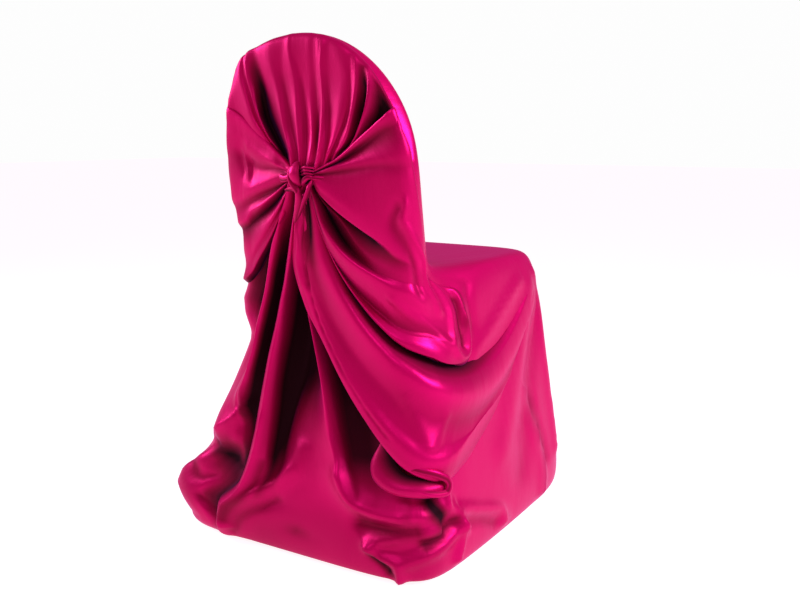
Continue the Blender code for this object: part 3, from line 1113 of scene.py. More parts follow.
RIGHT_WING_FOLDS = (
    Fold("tucked top", SOFT, (
        (30, 686, 18), (76, 706, 6), (130, 738, 2), (190, 766, 1), (228, 782, -3)), 1),
    Fold("top roll", ROUND, (
        (40, 684, 33), (66, 695, 28), (94, 706, 25), (145, 737, 18), (194, 764, 12), (214, 777, 6),
        (230, 784, -3))),
    Fold("top valley", TIGHT, (
        (41, 682, 30), (70, 691, 20), (92, 700, 15), (155, 728, 10), (215, 752, 6),
        (248, 755, -3)), shade=((0, 0.9), (0.5, 0.7), (0.8, 0.5), (1, 0.1))),
    Fold("second roll", ROUND, (
        (42, 680, 34), (72, 689, 30), (110, 697, 24), (195, 710, 17), (262, 716, 9),
        (300, 712, -3)), 0.1),
    Fold("second valley", SOFT, (
        (43, 679, 34), (116, 686, 24), (200, 694, 17), (275, 692, 8), (318, 688, -3)),
        shade=((0, 0.7), (0.4, 0.35), (1, 0.1))),
    Fold("upper panel", SOFT, (
        (44, 677, 36), (120, 674, 29), (204, 676, 20), (285, 668, 9), (325, 660, -3)), 0.12),
    Fold("lower panel", SOFT, (
        (44, 675, 37), (128, 643, 33), (208, 620, 24), (296, 609, 11), (340, 608, -3)), 0.08),
    Fold("bottom swell", ROUND, (
        (44, 673, 38), (62, 655, 39), (120, 624, 37), (178, 589, 30), (224, 565, 23),
        (305, 552, 10), (348, 552, -3))),
    Fold("bottom edge", TIGHT, (
        (43, 671, 37), (53, 653, 39), (78, 633, 39), (110, 613, 37), (149, 592, 32),
        (188, 573, 26), (224, 551, 21), (300, 528, 10), (350, 526, -3))),
    Fold("under the edge", TIGHT, (
        (36, 666, 24), (48, 644, 14), (85, 612, 10), (135, 588, 10), (182, 566, 17),
        (225, 541, 19), (300, 518, 9), (350, 514, -3)),
        shade=((0, 1), (0.45, 1), (0.6, 0.5), (0.75, 0.1), (1, 0))),
    Fold("thin ridge", TIGHT, (
        (34, 662, 26), (50, 632, 20), (83, 606, 17), (122, 564, 15), (171, 540, 18),
        (224, 524, 20), (295, 508, 10), (350, 506, -3)),
        shade=((0, 0.6), (0.3, 0.5), (0.55, 0.2), (1, 0))),
    Fold("beside the swag", TIGHT, (
        (33, 660, 26), (45, 630, 14), (58, 596, 8), (86, 562, 8), (130, 537, 15), (199, 516, 22),
        (290, 496, 12), (345, 500, -3)),
        shade=((0, 1), (0.3, 0.9), (0.5, 0.4), (0.7, 0.1), (1, 0))),
    Fold("swag", ROUND, (
        (32, 658, 34), (44, 630, 35), (58, 596, 35), (90, 560, 34), (130, 534, 33), (181, 512, 31),
        (228, 490, 27), (285, 476, 16), (318, 482, 8), (345, 498, -3))),
    Fold("below the swag", SOFT, (
        (30, 656, 32), (42, 614, 32), (62, 565, 31), (98, 523, 28), (150, 490, 25), (210, 462, 23),
        (270, 442, 17), (315, 448, 10), (342, 470, 5), (356, 495, -3)),
        shade=((0, 0.4), (0.3, 0.1), (0.6, 0), (1, 0))),
    Fold("swag valley", SOFT, (
        (29, 654, 28), (40, 602, 24), (64, 537, 20), (113, 487, 16), (174, 447, 14),
        (222, 424, 17), (280, 412, 14), (325, 420, 8), (350, 450, 4), (362, 492, -3)),
        shade=((0, 0.8), (0.3, 0.35), (0.6, 0.35), (0.8, 0.15), (1, 0.2))),
    Fold("loop", TIGHT, (
        (28, 652, 28), (41, 597, 25), (70, 534, 23), (120, 480, 21), (175, 439, 21),
        (216, 414, 22), (270, 399, 18), (320, 398, 12), (344, 412, 8), (355, 450, 5),
        (358, 492, -3)), shade=((0, 0.5), (0.3, 0.1), (0.7, 0.1), (1, 0.6))),
    Fold("second swag", ROUND, (
        (27, 650, 28), (42, 592, 27), (75, 531, 27), (126, 473, 27), (174, 430, 28),
        (207, 404, 28), (260, 383, 23), (318, 377, 14), (350, 382, 8), (364, 410, 4),
        (370, 450, 1), (372, 496, -4))),
    Fold("swag's foot", TIGHT, (
        (26, 648, 24), (40, 588, 23), (78, 520, 24), (131, 460, 23), (181, 416, 24),
        (212, 388, 25), (260, 366, 22), (320, 358, 12), (360, 364, 3), (378, 390, -1),
        (386, 440, -4), (390, 496, -6)), 0.15),
    Fold("tucked foot", SOFT, (
        (24, 646, 18), (34, 586, 10), (72, 520, 5), (126, 464, 5), (182, 421, 6), (221, 395, 8),
        (270, 376, 8), (322, 350, 2), (366, 354, -3), (390, 385, -5), (400, 440, -6),
        (405, 498, -8)), shade=((0, 1), (0.6, 1), (0.8, 0.5), (1, 0))),
)
LEFT_WING_FOLDS = (
    Fold("tucked top", SOFT, (
        (-30, 694, 10), (-62, 714, 4), (-108, 743, 0), (-150, 766, -2), (-200, 782, -5)), 1),
    Fold("top roll", ROUND, (
        (-16, 690, 28), (-45, 708, 22), (-96, 736, 15), (-146, 764, 9), (-205, 785, 1),
        (-240, 790, -5))),
    Fold("upper panel", SOFT, (
        (-20, 685, 30), (-55, 697, 24), (-97, 713, 18), (-147, 732, 10), (-200, 750, 4),
        (-250, 752, -5)), 0.08),
    Fold("dimple's top", SOFT, (
        (-22, 682, 29), (-59, 689, 23), (-104, 698, 16), (-148, 711, 8), (-200, 724, 4),
        (-285, 724, -5)), 0.1),
    Fold("dimple", SOFT, (
        (-24, 679, 29), (-62, 682, 23), (-108, 683, 15), (-150, 688, 8), (-200, 698, 4),
        (-300, 700, -5)), shade=((0, 0.5), (0.3, 0.3), (0.7, 0.3), (1, 0))),
    Fold("low roll", ROUND, (
        (-26, 672, 30), (-58, 666, 30), (-109, 655, 26), (-162, 645, 19), (-218, 636, 8),
        (-310, 630, -5))),
    Fold("under the roll", SOFT, (
        (-26, 667, 28), (-62, 654, 22), (-118, 637, 14), (-172, 623, 9), (-222, 612, 4),
        (-320, 610, -5)), shade=((0, 0.7), (0.4, 0.4), (1, 0.1))),
    Fold("lower edge", TIGHT, (
        (-30, 662, 28), (-66, 643, 26), (-114, 622, 22), (-160, 608, 16), (-216, 588, 8),
        (-325, 585, -5))),
    Fold("crease", SHARP, (
        (-42, 655, 14), (-78, 630, 8), (-125, 607, 6), (-170, 590, 4), (-215, 575, 2),
        (-325, 572, -6)), shade=((0, 1), (0.2, 0.9), (0.6, 0.7), (1, 0.4))),
    Fold("band", ROUND, (
        (-34, 648, 26), (-62, 620, 25), (-106, 587, 22), (-150, 559, 16), (-206, 538, 8),
        (-330, 530, -5)), 0.05),
    Fold("band's dip", SOFT, (
        (-35, 644, 24), (-62, 613, 22), (-105, 575, 18), (-154, 540, 12), (-212, 510, 5),
        (-330, 495, -5)), 0.15),
    Fold("band's foot", TIGHT, (
        (-36, 640, 24), (-62, 605, 22), (-104, 562, 18), (-157, 521, 13), (-216, 484, 8),
        (-330, 460, -5)), 0.2),
    Fold("tucked foot", SOFT, (
        (-40, 636, 12), (-68, 602, 6), (-112, 558, -4), (-162, 518, -12), (-222, 476, -12),
        (-330, 450, -8)), 1),
)
DRAPE_FOLDS = (
    Fold("tucked top", SOFT, (
        (30, 652, 18), (34, 612, 10), (50, 552, 4), (88, 488, 3), (145, 434, 2), (196, 400, 2),
        (242, 374, 2), (325, 354, 2), (410, 354, 0), (490, 372, 0), (570, 408, -1), (645, 452, -2),
        (730, 490, -4)), shade=((0, 1), (0.5, 1), (0.65, 0.4), (0.8, 0.1), (1, 0))),
    Fold("upper edge", TIGHT, (
        (30, 651, 22), (37, 612, 17), (56, 554, 18), (90, 496, 22), (134, 444, 25), (176, 400, 27),
        (208, 368, 27), (240, 345, 27), (320, 332, 20), (405, 336, 12), (485, 358, 8),
        (565, 396, 6), (640, 440, 4), (735, 484, -3)),
        shade=((0, 0.7), (0.3, 0.4), (0.5, 0.3), (0.7, 0), (1, 0))),
    Fold("ridge", ROUND, (
        (28, 650, 30), (33, 606, 27), (46, 544, 30), (80, 486, 34), (125, 432, 37), (171, 384, 38),
        (206, 348, 38), (240, 320, 36), (320, 300, 27), (405, 300, 17), (490, 326, 11),
        (570, 366, 8), (650, 414, 5), (740, 474, -3))),
    Fold("valley", SOFT, (
        (22, 649, 30), (20, 604, 25), (20, 531, 27), (49, 458, 26), (98, 395, 26), (152, 342, 26),
        (200, 302, 24), (235, 277, 22), (310, 262, 15), (390, 266, 8), (490, 300, 5),
        (590, 356, 3), (670, 414, 2), (745, 466, -4)),
        shade=((0, 1), (0.07, 0.9), (0.13, 0.3), (0.3, 0.12), (0.5, 0.25), (0.75, 0.15), (1, 0))),
    Fold("middle", SOFT, (
        (18, 648, 31), (10, 606, 28), (1, 530, 29), (31, 453, 28), (87, 377, 28), (149, 311, 28),
        (196, 261, 26), (224, 240, 24), (290, 236, 17), (370, 248, 10), (470, 280, 5),
        (580, 340, 2), (670, 400, 1), (750, 456, -4)),
        shade=((0, 0.7), (0.05, 0.6), (0.12, 0.2), (0.2, 0.1), (1, 0.1))),
    Fold("point", ROUND, (
        (14, 647, 32), (3, 607, 30), (-10, 530, 30), (19, 445, 29), (75, 362, 30), (140, 293, 32),
        (184, 251, 33), (218, 217, 32), (270, 216, 25), (340, 238, 13), (440, 268, 5),
        (560, 324, 0), (670, 384, -2), (755, 440, -5))),
    Fold("by the hem", SOFT, (
        (10, 646, 32), (-5, 608, 32), (-20, 529, 30), (7, 447, 28), (60, 366, 28), (122, 287, 29),
        (175, 232, 30), (213, 200, 29), (262, 192, 20), (330, 206, 8), (430, 240, 0),
        (560, 300, -4), (670, 362, -5), (760, 424, -6)), 0.1),
    Fold("hem", SOFT, (
        (6, 645, 31), (-12, 610, 31), (-30, 528, 28), (-6, 455, 27), (29, 406, 27), (66, 360, 27),
        (108, 305, 27), (144, 256, 27), (181, 212, 25), (208, 188, 22), (245, 174, 15),
        (310, 182, 2), (420, 222, -4), (560, 286, -6), (670, 348, -7), (765, 410, -8))),
)
LOOP_FOLDS = (
    Fold("under the drape", SOFT, (
        (165, 245, 10), (170, 225, 14), (178, 208, 16), (192, 192, 16), (210, 186, 16),
        (235, 182, 14), (250, 182, 10)), 1),
    Fold("swell", ROUND, (
        (152, 240, 8), (146, 210, 20), (150, 187, 26), (172, 172, 28), (200, 168, 28),
        (230, 168, 24), (256, 172, 16)), shade=((0, 0.5), (0.3, 0.2), (1, 0.1))),
    Fold("edge", TIGHT, (
        (150, 236, 8), (136, 205, 14), (140, 178, 17), (165, 161, 20), (200, 156, 22),
        (235, 155, 18), (258, 162, 12))),
    Fold("turned under", SOFT, (
        (148, 234, -2), (132, 204, 0), (136, 174, 2), (163, 156, 2), (200, 151, 2), (235, 150, 1),
        (260, 158, -2)), 0.9),
)

LEFT_WING_DENTS = (
    SoftFold(-3, 13, ((-192, 704), (-176, 680)), 0.15),
    SoftFold(3, 11, ((-170, 700), (-156, 680))),
    SoftFold(-3, 13, ((-142, 690), (-136, 672)), 0.15),
    SoftFold(3, 14, ((-60, 700), (-100, 700), (-150, 715))),
)
RIGHT_WING_DENTS = (
    SoftFold(4.5, 10, ((250, 635), (236, 612), (266, 577), (298, 540), (291, 490), (284, 450))),
    SoftFold(-4.5, 11, ((226, 630), (216, 607), (233, 568), (252, 528), (250, 490)), 0.3),
    SoftFold(6, 8, ((325, 496), (312, 459), (306, 422), (299, 387), (317, 366), (348, 372),
                    (355, 407), (346, 446), (350, 477))),
    SoftFold(-6, 8, ((333, 460), (331, 420), (329, 386)), 0.6),
    SoftFold(4, 9, ((205, 480), (229, 440), (266, 410), (288, 392))),
)
DRAPE_DENTS = (
    SoftFold(-3, 6, ((6, 600), (12, 570), (2, 530), (7, 490)), 0.35),
    SoftFold(2.5, 7, ((-10, 590), (-6, 560), (-16, 530), (-8, 490))),
    SoftFold(3.5, 9, ((197, 312), (211, 272), (220, 238))),
    SoftFold(3.5, 9, ((252, 279), (236, 257), (224, 236))),
    SoftFold(-1.5, 3, ((-8, 598), (-2, 530), (29, 436), (82, 355), (134, 292), (170, 250)), 0.25),
)


# ------------------------------------------------------------------ the cover itself
UPRIGHTS = (
    Fold("left side", SOFT, ((-330, 950, 0), (-330, 500, 0), (-330, 0, 0))),
    Fold("left flank", SOFT, ((-300, 950, 0), (-300, 500, 0), (-300, 0, 0))),
    Fold("left corner", SOFT, (
        (-262, 950, 0), (-250, 560, 0), (-255, 480, -2), (-255, 430, 4), (-250, 380, -4),
        (-250, 280, 0), (-235, 200, 0), (-235, 160, -4), (-238, 100, 8), (-235, 50, 8),
        (-240, 0, 0))),
    Fold("left recess", SOFT, (
        (-190, 950, 0), (-175, 580, 0), (-188, 500, -14), (-200, 430, -12), (-205, 390, -6),
        (-205, 330, -4), (-210, 270, 0), (-210, 225, 8), (-205, 190, 8), (-205, 160, -6),
        (-210, 120, 8), (-210, 70, 14), (-200, 30, 8), (-200, 0, 0)),
        shade=((170, 0.1), (400, 0.1), (450, 0.7), (520, 0.8), (580, 0.2), (620, 0))),
    Fold("thin ridge", TIGHT, (
        (-130, 950, 0), (-132, 867, 6), (-138, 830, 10), (-124, 779, 14), (-94, 740, 16),
        (-66, 700, 12), (-85, 620, 6), (-130, 560, -10), (-155, 500, -18), (-175, 440, -20),
        (-182, 390, -8), (-184, 330, -2), (-190, 270, 4), (-188, 225, 10), (-180, 190, 10),
        (-180, 160, -8), (-185, 120, 2), (-185, 70, 12), (-178, 30, 8), (-175, 0, 0)),
        shade=((100, 0), (140, 0.3), (160, 0.9), (180, 0.3), (200, 0), (380, 0.2), (440, 1),
               (560, 0.9), (620, 0.2), (660, 0))),
    Fold("between thin ridges", TIGHT, (
        (-122, 950, 0), (-124, 867, 2), (-128, 830, 3), (-116, 779, 6), (-89, 740, 10),
        (-60, 700, 10), (-70, 620, 8), (-116, 560, -4), (-142, 500, -12), (-160, 440, -12),
        (-166, 390, -2), (-172, 330, 6), (-182, 270, 8), (-170, 225, 10), (-160, 190, 10),
        (-155, 160, -10), (-160, 120, -4), (-165, 70, 8), (-160, 30, 6), (-155, 0, 0)),
        shade=((100, 0), (130, 0.5), (155, 1), (175, 0.5), (200, 0.1), (360, 0.2), (440, 0.9),
               (540, 0.9), (620, 0.4), (660, 0))),
    Fold("second thin ridge", TIGHT, (
        (-113, 950, 0), (-115, 867, 6), (-116, 830, 10), (-106, 785, 13), (-82, 742, 14),
        (-52, 700, 12), (-56, 620, 14), (-100, 560, 8), (-128, 500, 4), (-146, 440, 4),
        (-153, 390, 8), (-162, 330, 11), (-175, 270, 12), (-155, 225, 8), (-145, 190, 8),
        (-138, 160, -10), (-142, 120, -8), (-150, 70, 0), (-148, 30, 2), (-145, 0, 0)),
        shade=((0, 0), (60, 0.6), (100, 0.3), (130, 0.7), (150, 1), (170, 0.6), (190, 0.1),
               (360, 0.2), (420, 0.6), (540, 0.7), (620, 0.4), (660, 0))),
    Fold("hollow left", SOFT, (
        (-98, 950, 0), (-98, 870, -2), (-100, 822, -14), (-104, 767, -17), (-70, 722, -8),
        (-45, 700, 4), (-40, 620, 22), (-90, 563, 22), (-118, 502, 20), (-134, 442, 19),
        (-142, 400, 17), (-148, 350, 15), (-160, 310, 14), (-170, 270, 13), (-145, 225, 4),
        (-132, 190, 4), (-124, 160, -8), (-128, 120, -8), (-138, 70, -4), (-142, 30, 0),
        (-140, 0, 0)),
        shade=((0, 0), (50, 0.8), (100, 0.6), (140, 0.9), (170, 0.4), (190, 0.2), (240, 0.1),
               (300, 0), (680, 0), (710, 1), (820, 1), (850, 0.7), (880, 0.1))),
    Fold("first column", ROUND, (
        (-80, 950, 0), (-80, 880, 1), (-78, 830, 1), (-74, 780, 1), (-46, 735, 9), (-28, 702, 18),
        (-30, 647, 31), (-47, 617, 31), (-72, 573, 29), (-109, 502, 25), (-125, 442, 24),
        (-133, 400, 22), (-138, 353, 20), (-150, 310, 18), (-158, 270, 13), (-130, 225, -2),
        (-120, 190, 0), (-114, 160, -6), (-118, 120, -8), (-130, 70, -4), (-137, 0, 0)),
        shade=((0, 0), (50, 0.9), (120, 0.8), (160, 0.9), (200, 0.5), (235, 0.7), (270, 0.3),
               (300, 0), (680, 0), (710, 0.5), (800, 0.3), (860, 0))),
    Fold("gap's left", TIGHT, (
        (-60, 950, 0), (-62, 890, 3), (-52, 829, 10), (-35, 754, 17), (-14, 702, 28),
        (-24, 640, 26), (-46, 600, 16), (-67, 563, 12), (-98, 502, 10), (-115, 442, 8),
        (-122, 400, 7), (-126, 353, 6), (-134, 310, 2), (-138, 270, -4), (-120, 225, -8),
        (-106, 160, -6), (-126, 70, -4), (-134, 0, 0)),
        shade=((0, 0), (50, 0.9), (120, 0.9), (200, 0.8), (250, 1), (500, 1), (560, 0.8),
               (620, 0.3), (660, 0))),
    Fold("gap", TIGHT, (
        (-36, 950, 0), (-36, 880, 1), (-36, 828, 3), (-22, 754, 9), (-4, 702, 20), (-17, 640, 18),
        (-36, 595, 2), (-60, 550, -8), (-87, 498, -16), (-100, 445, -18), (-104, 400, -18),
        (-107, 353, -16), (-110, 310, -14), (-112, 270, -12), (-104, 220, -6), (-100, 160, -4),
        (-123, 70, 0), (-132, 0, 0)),
        shade=((0, 0), (50, 0.5), (100, 0.9), (500, 1), (560, 1), (640, 0.9), (670, 0.3),
               (750, 0.35), (820, 0.3), (880, 0))),
    Fold("second column's edge", TIGHT, (
        (-22, 950, 0), (-22, 896, 3), (-11, 828, 9), (-4, 755, 17), (6, 700, 28), (-6, 640, 31),
        (-22, 600, 29), (-44, 544, 26), (-64, 490, 24), (-78, 444, 23), (-88, 368, 22),
        (-91, 306, 20), (-91, 258, 19), (-90, 210, 18), (-92, 161, 18), (-100, 113, 17),
        (-117, 66, 12), (-133, 28, 6), (-130, 0, 0)),
        shade=((0, 0.1), (150, 0.25), (500, 0.15), (600, 0))),
    Fold("second column", TIGHT, (
        (-18, 950, 0), (-15, 880, 2), (-6, 838, 6), (1, 770, 14), (10, 700, 26), (0, 640, 34),
        (-15, 600, 34), (-33, 544, 32), (-52, 490, 31), (-65, 444, 30), (-75, 368, 28),
        (-78, 306, 27), (-78, 258, 26), (-77, 210, 26), (-80, 161, 25), (-90, 113, 24),
        (-109, 66, 18), (-131, 28, 9), (-125, 0, 0))),
    Fold("second column's flank", SOFT, (
        (-10, 950, 0), (-4, 870, 1), (3, 820, 2), (10, 760, 8), (15, 700, 21), (-4, 640, 27),
        (-15, 600, 24), (-28, 544, 22), (-46, 490, 18), (-58, 444, 17), (-66, 368, 16),
        (-68, 306, 15), (-67, 258, 14), (-65, 210, 13), (-66, 161, 14), (-75, 113, 16),
        (-94, 66, 15), (-115, 35, 10), (-115, 0, 0)),
        shade=((0, 0), (100, 0.05), (200, 0.3), (400, 0.35), (560, 0.4), (620, 0.1), (660, 0.1),
               (750, 0.35), (820, 0.25), (860, 0))),
    Fold("hollow's left", TIGHT, (
        (10, 950, 0), (12, 870, 1), (16, 797, 5), (22, 742, 14), (22, 700, 26), (0, 640, 25),
        (-11, 600, 14), (-23, 544, 4), (-42, 490, -4), (-53, 444, -8), (-62, 368, -10),
        (-64, 306, -10), (-62, 258, -11), (-60, 200, -10), (-58, 150, -3), (-62, 110, 6),
        (-80, 66, 11), (-100, 35, 8), (-105, 0, 0)),
        shade=((0, 0), (90, 0.1), (130, 0.7), (170, 1), (560, 1), (600, 0.6), (650, 0.1))),
    Fold("hollow", SOFT, (
        (22, 950, 0), (24, 860, 2), (26, 797, 6), (32, 742, 17), (30, 700, 28), (4, 640, 20),
        (-6, 600, 6), (-16, 540, -10), (-30, 486, -22), (-38, 440, -30), (-40, 370, -34),
        (-42, 310, -32), (-46, 260, -26), (-46, 200, -16), (-44, 150, -6), (-50, 100, 4),
        (-66, 60, 8), (-90, 0, 0)),
        shade=((0, 0), (110, 0.05), (150, 0.6), (190, 0.95), (560, 1), (600, 0.8), (650, 0.2),
               (680, 0))),
    Fold("hollow's right", SOFT, (
        (32, 950, 0), (34, 860, 1), (36, 787, 3), (39, 740, 9), (37, 700, 22), (8, 640, 20),
        (-2, 600, 8), (-10, 540, -6), (-20, 486, -18), (-26, 440, -26), (-22, 370, -30),
        (-20, 320, -27), (-26, 284, -19), (-30, 244, -12), (-30, 200, -6), (-28, 150, 0),
        (-36, 100, 5), (-50, 60, 8), (-75, 0, 0)),
        shade=((0, 0), (140, 0.05), (200, 0.3), (260, 0.5), (300, 0.85), (340, 1), (560, 1),
               (610, 0.6), (660, 0.2), (750, 0.4), (820, 0.3), (870, 0))),
    Fold("lit slope", SOFT, (
        (44, 950, 0), (44, 887, 3), (44, 843, 5), (48, 778, 11), (45, 707, 27), (12, 640, 27),
        (1, 600, 18), (-6, 540, 8), (-10, 486, -4), (-8, 440, -14), (6, 370, -18), (12, 320, -13),
        (10, 284, -7), (12, 244, -2), (14, 200, 2), (12, 150, 6), (0, 100, 8), (-20, 60, 8),
        (-45, 0, 0)),
        shade=((140, 0.02), (200, 0.15), (260, 0.35), (320, 0.8), (360, 1), (560, 1), (610, 0.5),
               (660, 0.1), (700, 0))),
    Fold("third column", TIGHT, (
        (53, 950, 0), (53, 887, 4), (50, 843, 8), (55, 778, 14), (52, 707, 31), (18, 640, 31),
        (8, 600, 28), (0, 544, 27), (-3, 500, 26), (-2, 448, 24), (12, 397, 22), (28, 349, 20),
        (41, 306, 19), (55, 244, 17), (71, 195, 16), (84, 160, 14), (90, 120, 10), (80, 60, 8),
        (60, 0, 0))),
    Fold("third column's flank", SOFT, (
        (66, 950, 0), (64, 858, 1), (62, 801, 4), (62, 768, 7), (58, 706, 21), (24, 640, 24),
        (14, 600, 22), (7, 544, 20), (4, 500, 18), (6, 448, 15), (21, 397, 12), (38, 349, 11),
        (53, 306, 11), (69, 244, 9), (85, 195, 8), (98, 160, 7), (105, 120, 8), (100, 60, 6),
        (90, 0, 0)),
        shade=((0, 0), (140, 0.1), (200, 0.25), (350, 0.3), (560, 0.4), (640, 0.1), (720, 0.1),
               (780, 0.35), (830, 0.2), (870, 0))),
    Fold("third pleat", ROUND, (
        (92, 950, 0), (92, 873, 3), (103, 835, 7), (98, 786, 12), (85, 740, 18), (66, 703, 26),
        (30, 640, 16), (22, 600, 10), (16, 529, 4), (22, 455, -4), (38, 392, -10), (52, 343, -10),
        (66, 298, -10), (84, 228, -8), (100, 180, -2), (115, 139, 3), (120, 60, 5), (115, 0, 0)),
        shade=((0, 0), (130, 0.1), (170, 0.5), (200, 0.9), (560, 1), (620, 0.6), (660, 0))),
    Fold("third line", TIGHT, (
        (118, 950, 0), (116, 864, 1), (113, 811, 3), (104, 767, 6), (76, 715, 16), (40, 640, 8),
        (34, 600, 2), (34, 529, -6), (45, 455, -14), (64, 392, -24), (78, 343, -26),
        (92, 298, -24), (112, 228, -20), (130, 180, -8), (140, 139, 0), (145, 60, 4), (145, 0, 0)),
        shade=((0, 0), (130, 0.1), (170, 0.5), (200, 0.9), (560, 1), (620, 0.6), (660, 0.1),
               (750, 0.35), (830, 0.2), (870, 0))),
    Fold("fourth pleat", TIGHT, (
        (133, 950, 0), (130, 858, 4), (132, 824, 9), (123, 777, 14), (105, 731, 17), (78, 703, 20),
        (55, 640, 4), (65, 529, -4), (95, 392, -14), (125, 298, -14), (142, 228, -10),
        (160, 180, -2), (170, 139, 2), (175, 60, 3), (175, 0, 0)),
        shade=((0, 0), (150, 0.1), (190, 0.6), (250, 0.9), (560, 1), (620, 0.5), (680, 0))),
    Fold("hollow right", SOFT, (
        (150, 950, 0), (147, 850, 0), (144, 801, -12), (134, 770, -14), (116, 735, -6),
        (88, 704, 8), (75, 640, 0), (92, 529, -4), (120, 392, -6), (150, 298, -6), (172, 228, -2),
        (190, 139, 2), (195, 0, 0)),
        shade=((0, 0), (200, 0.4), (560, 0.8), (640, 0.6), (700, 1), (820, 1), (860, 0.1))),
    Fold("right thin ridge", TIGHT, (
        (160, 950, 0), (158, 854, 4), (164, 818, 10), (153, 777, 14), (131, 741, 15),
        (102, 704, 14), (100, 640, 0), (120, 529, 0), (150, 392, 0), (190, 228, 0), (210, 0, 0))),
    Fold("second hollow", SOFT, (
        (178, 950, 0), (176, 835, 0), (184, 810, -6), (180, 770, -14), (152, 735, -8),
        (125, 704, 4), (140, 640, 0), (180, 392, 0), (222, 0, 0)),
        shade=((0, 0), (680, 0), (720, 0.9), (790, 1), (825, 0.4), (845, 0))),
    Fold("side band's line", TIGHT, (
        (200, 950, 0), (198, 820, 0), (210, 790, -6), (205, 750, -8), (190, 720, -2),
        (200, 640, -2), (210, 392, 0), (235, 0, 0)),
        shade=((0, 0), (680, 0), (730, 0.7), (790, 0.8), (815, 0.2), (830, 0))),
    Fold("side band", ROUND, (
        (214, 950, 0), (216, 800, 3), (226, 770, 5), (230, 740, 5), (235, 640, 0), (235, 392, 0),
        (250, 0, 0))),
    Fold("right corner", SOFT, ((242, 950, 0), (255, 700, 0), (255, 392, 0), (264, 0, 0))),
    Fold("behind the side", SOFT, ((270, 950, 0), (278, 700, 0), (278, 392, 0), (282, 0, 0))),
    Fold("on to the side", SOFT, ((294, 950, 0), (298, 700, 0), (300, 0, 0))),
    Fold("before the side", SOFT, ((312, 950, 0), (315, 700, 0), (316, 0, 0))),
    Fold("right side", SOFT, ((330, 950, 0), (330, 500, 0), (330, 0, 0))),
)
SOFT_FOLDS = (
    # a flat fold that only paints shade over the rear foot
    SoftFold(0, 60, ((-50, 40), (60, 60), (200, 50)), 0.2),
    # the rear foot
    SoftFold(9, 13, ((-135, 20), (-90, 86), (-43, 128), (-14, 168), (-4, 200))),
    SoftFold(4, 7, ((-130, 28), (-92, 84), (-45, 124), (-16, 160))),
    SoftFold(3, 6, ((-127, 34), (-107, 75), (-90, 120), (-81, 160), (-79, 240))),
    SoftFold(-5, 8, ((-116, 45), (-96, 78), (-74, 120), (-66, 160)), 0.45),
    SoftFold(-3, 8, ((-112, 22), (-78, 66), (-35, 100)), 0.25),
    SoftFold(4, 6, ((64, 226), (76, 193), (84, 164), (96, 138), (117, 123), (143, 118),
                    (180, 116))),
    SoftFold(5, 6, ((279, 134), (298, 93), (320, 66))),
    SoftFold(14, 17, ((82, 170), (100, 138), (132, 122), (190, 120), (240, 124))),
    SoftFold(-8, 11, ((115, 98), (150, 95), (200, 98)), 0.45),
    SoftFold(12, 11, ((235, 92), (190, 92), (150, 78), (130, 63))),
    SoftFold(13, 9, ((130, 63), (148, 50), (172, 42), (180, 15))),
    SoftFold(-5, 6, ((134, 48), (150, 36), (164, 20)), 0.8),
    SoftFold(9, 13, ((190, 45), (225, 60), (262, 70), (300, 85))),
    SoftFold(-7, 10, ((215, 75), (250, 88), (280, 100)), 0.6),
    SoftFold(-8, 13, ((222, 146), (230, 128), (243, 112)), 1),
    SoftFold(10, 10, ((262, 160), (262, 130), (282, 108), (300, 70), (290, 30))),
    SoftFold(9, 10, ((300, 112), (358, 92), (430, 65), (448, 34))),
    SoftFold(-5, 10, ((320, 80), (370, 65), (420, 40)), 0.25),
    SoftFold(-3, 12, ((-2, 55), (12, 50)), 0.2),
    # the lobes at the left
    SoftFold(10, 12, ((-187, 200), (-160, 226), (-136, 256))),
    SoftFold(-6, 9, ((-190, 170), (-150, 156), (-123, 137)), 0.7),
    # a flat fold that only paints shade over the lower left lobe
    SoftFold(0, 26, ((-220, 100), (-190, 70)), 0.22),
    SoftFold(-4, 9, ((-210, 118), (-185, 100), (-160, 112)), 0.35),
    SoftFold(8, 16, ((-225, 93), (-200, 139), (-173, 166))),
    SoftFold(-4, 8, ((-160, 66), (-137, 46)), 0.4),
    # the right side, falling from the seat's front corner
    SoftFold(5, 14, ((386, 364), (447, 393), (521, 427), (606, 464))),
    SoftFold(-4, 12, ((396, 483), (383, 456), (388, 410)), 0.1),
    SoftFold(8, 32, ((660, 440), (540, 300), (460, 170))),
    SoftFold(-7, 26, ((690, 440), (600, 270), (530, 100)), 0.1),
    SoftFold(8, 13, ((570, 250), (590, 180), (612, 120), (620, 30))),
    SoftFold(-6, 12, ((595, 230), (618, 160), (640, 90)), 0.25),
    SoftFold(7, 22, ((700, 460), (690, 300), (700, 100))),
    # the left side and the front
    SoftFold(14, 45, ((-360, 440), (-380, 280), (-410, 80))),
    SoftFold(-8, 30, ((-460, 440), (-490, 260), (-520, 60)), 0.3),
    SoftFold(12, 40, ((-580, 420), (-620, 240), (-660, 60))),
    SoftFold(-7, 26, ((-700, 460), (-740, 260), (-760, 60)), 0.25),
    SoftFold(9, 40, ((-860, 440), (-850, 220), (-840, 60))),
    SoftFold(-6, 26, ((-950, 400), (-950, 220), (-930, 60)), 0.2),
    SoftFold(9, 40, ((880, 420), (900, 220), (930, 60))),
    SoftFold(-6, 24, ((800, 420), (800, 220), (820, 60)), 0.2),
)


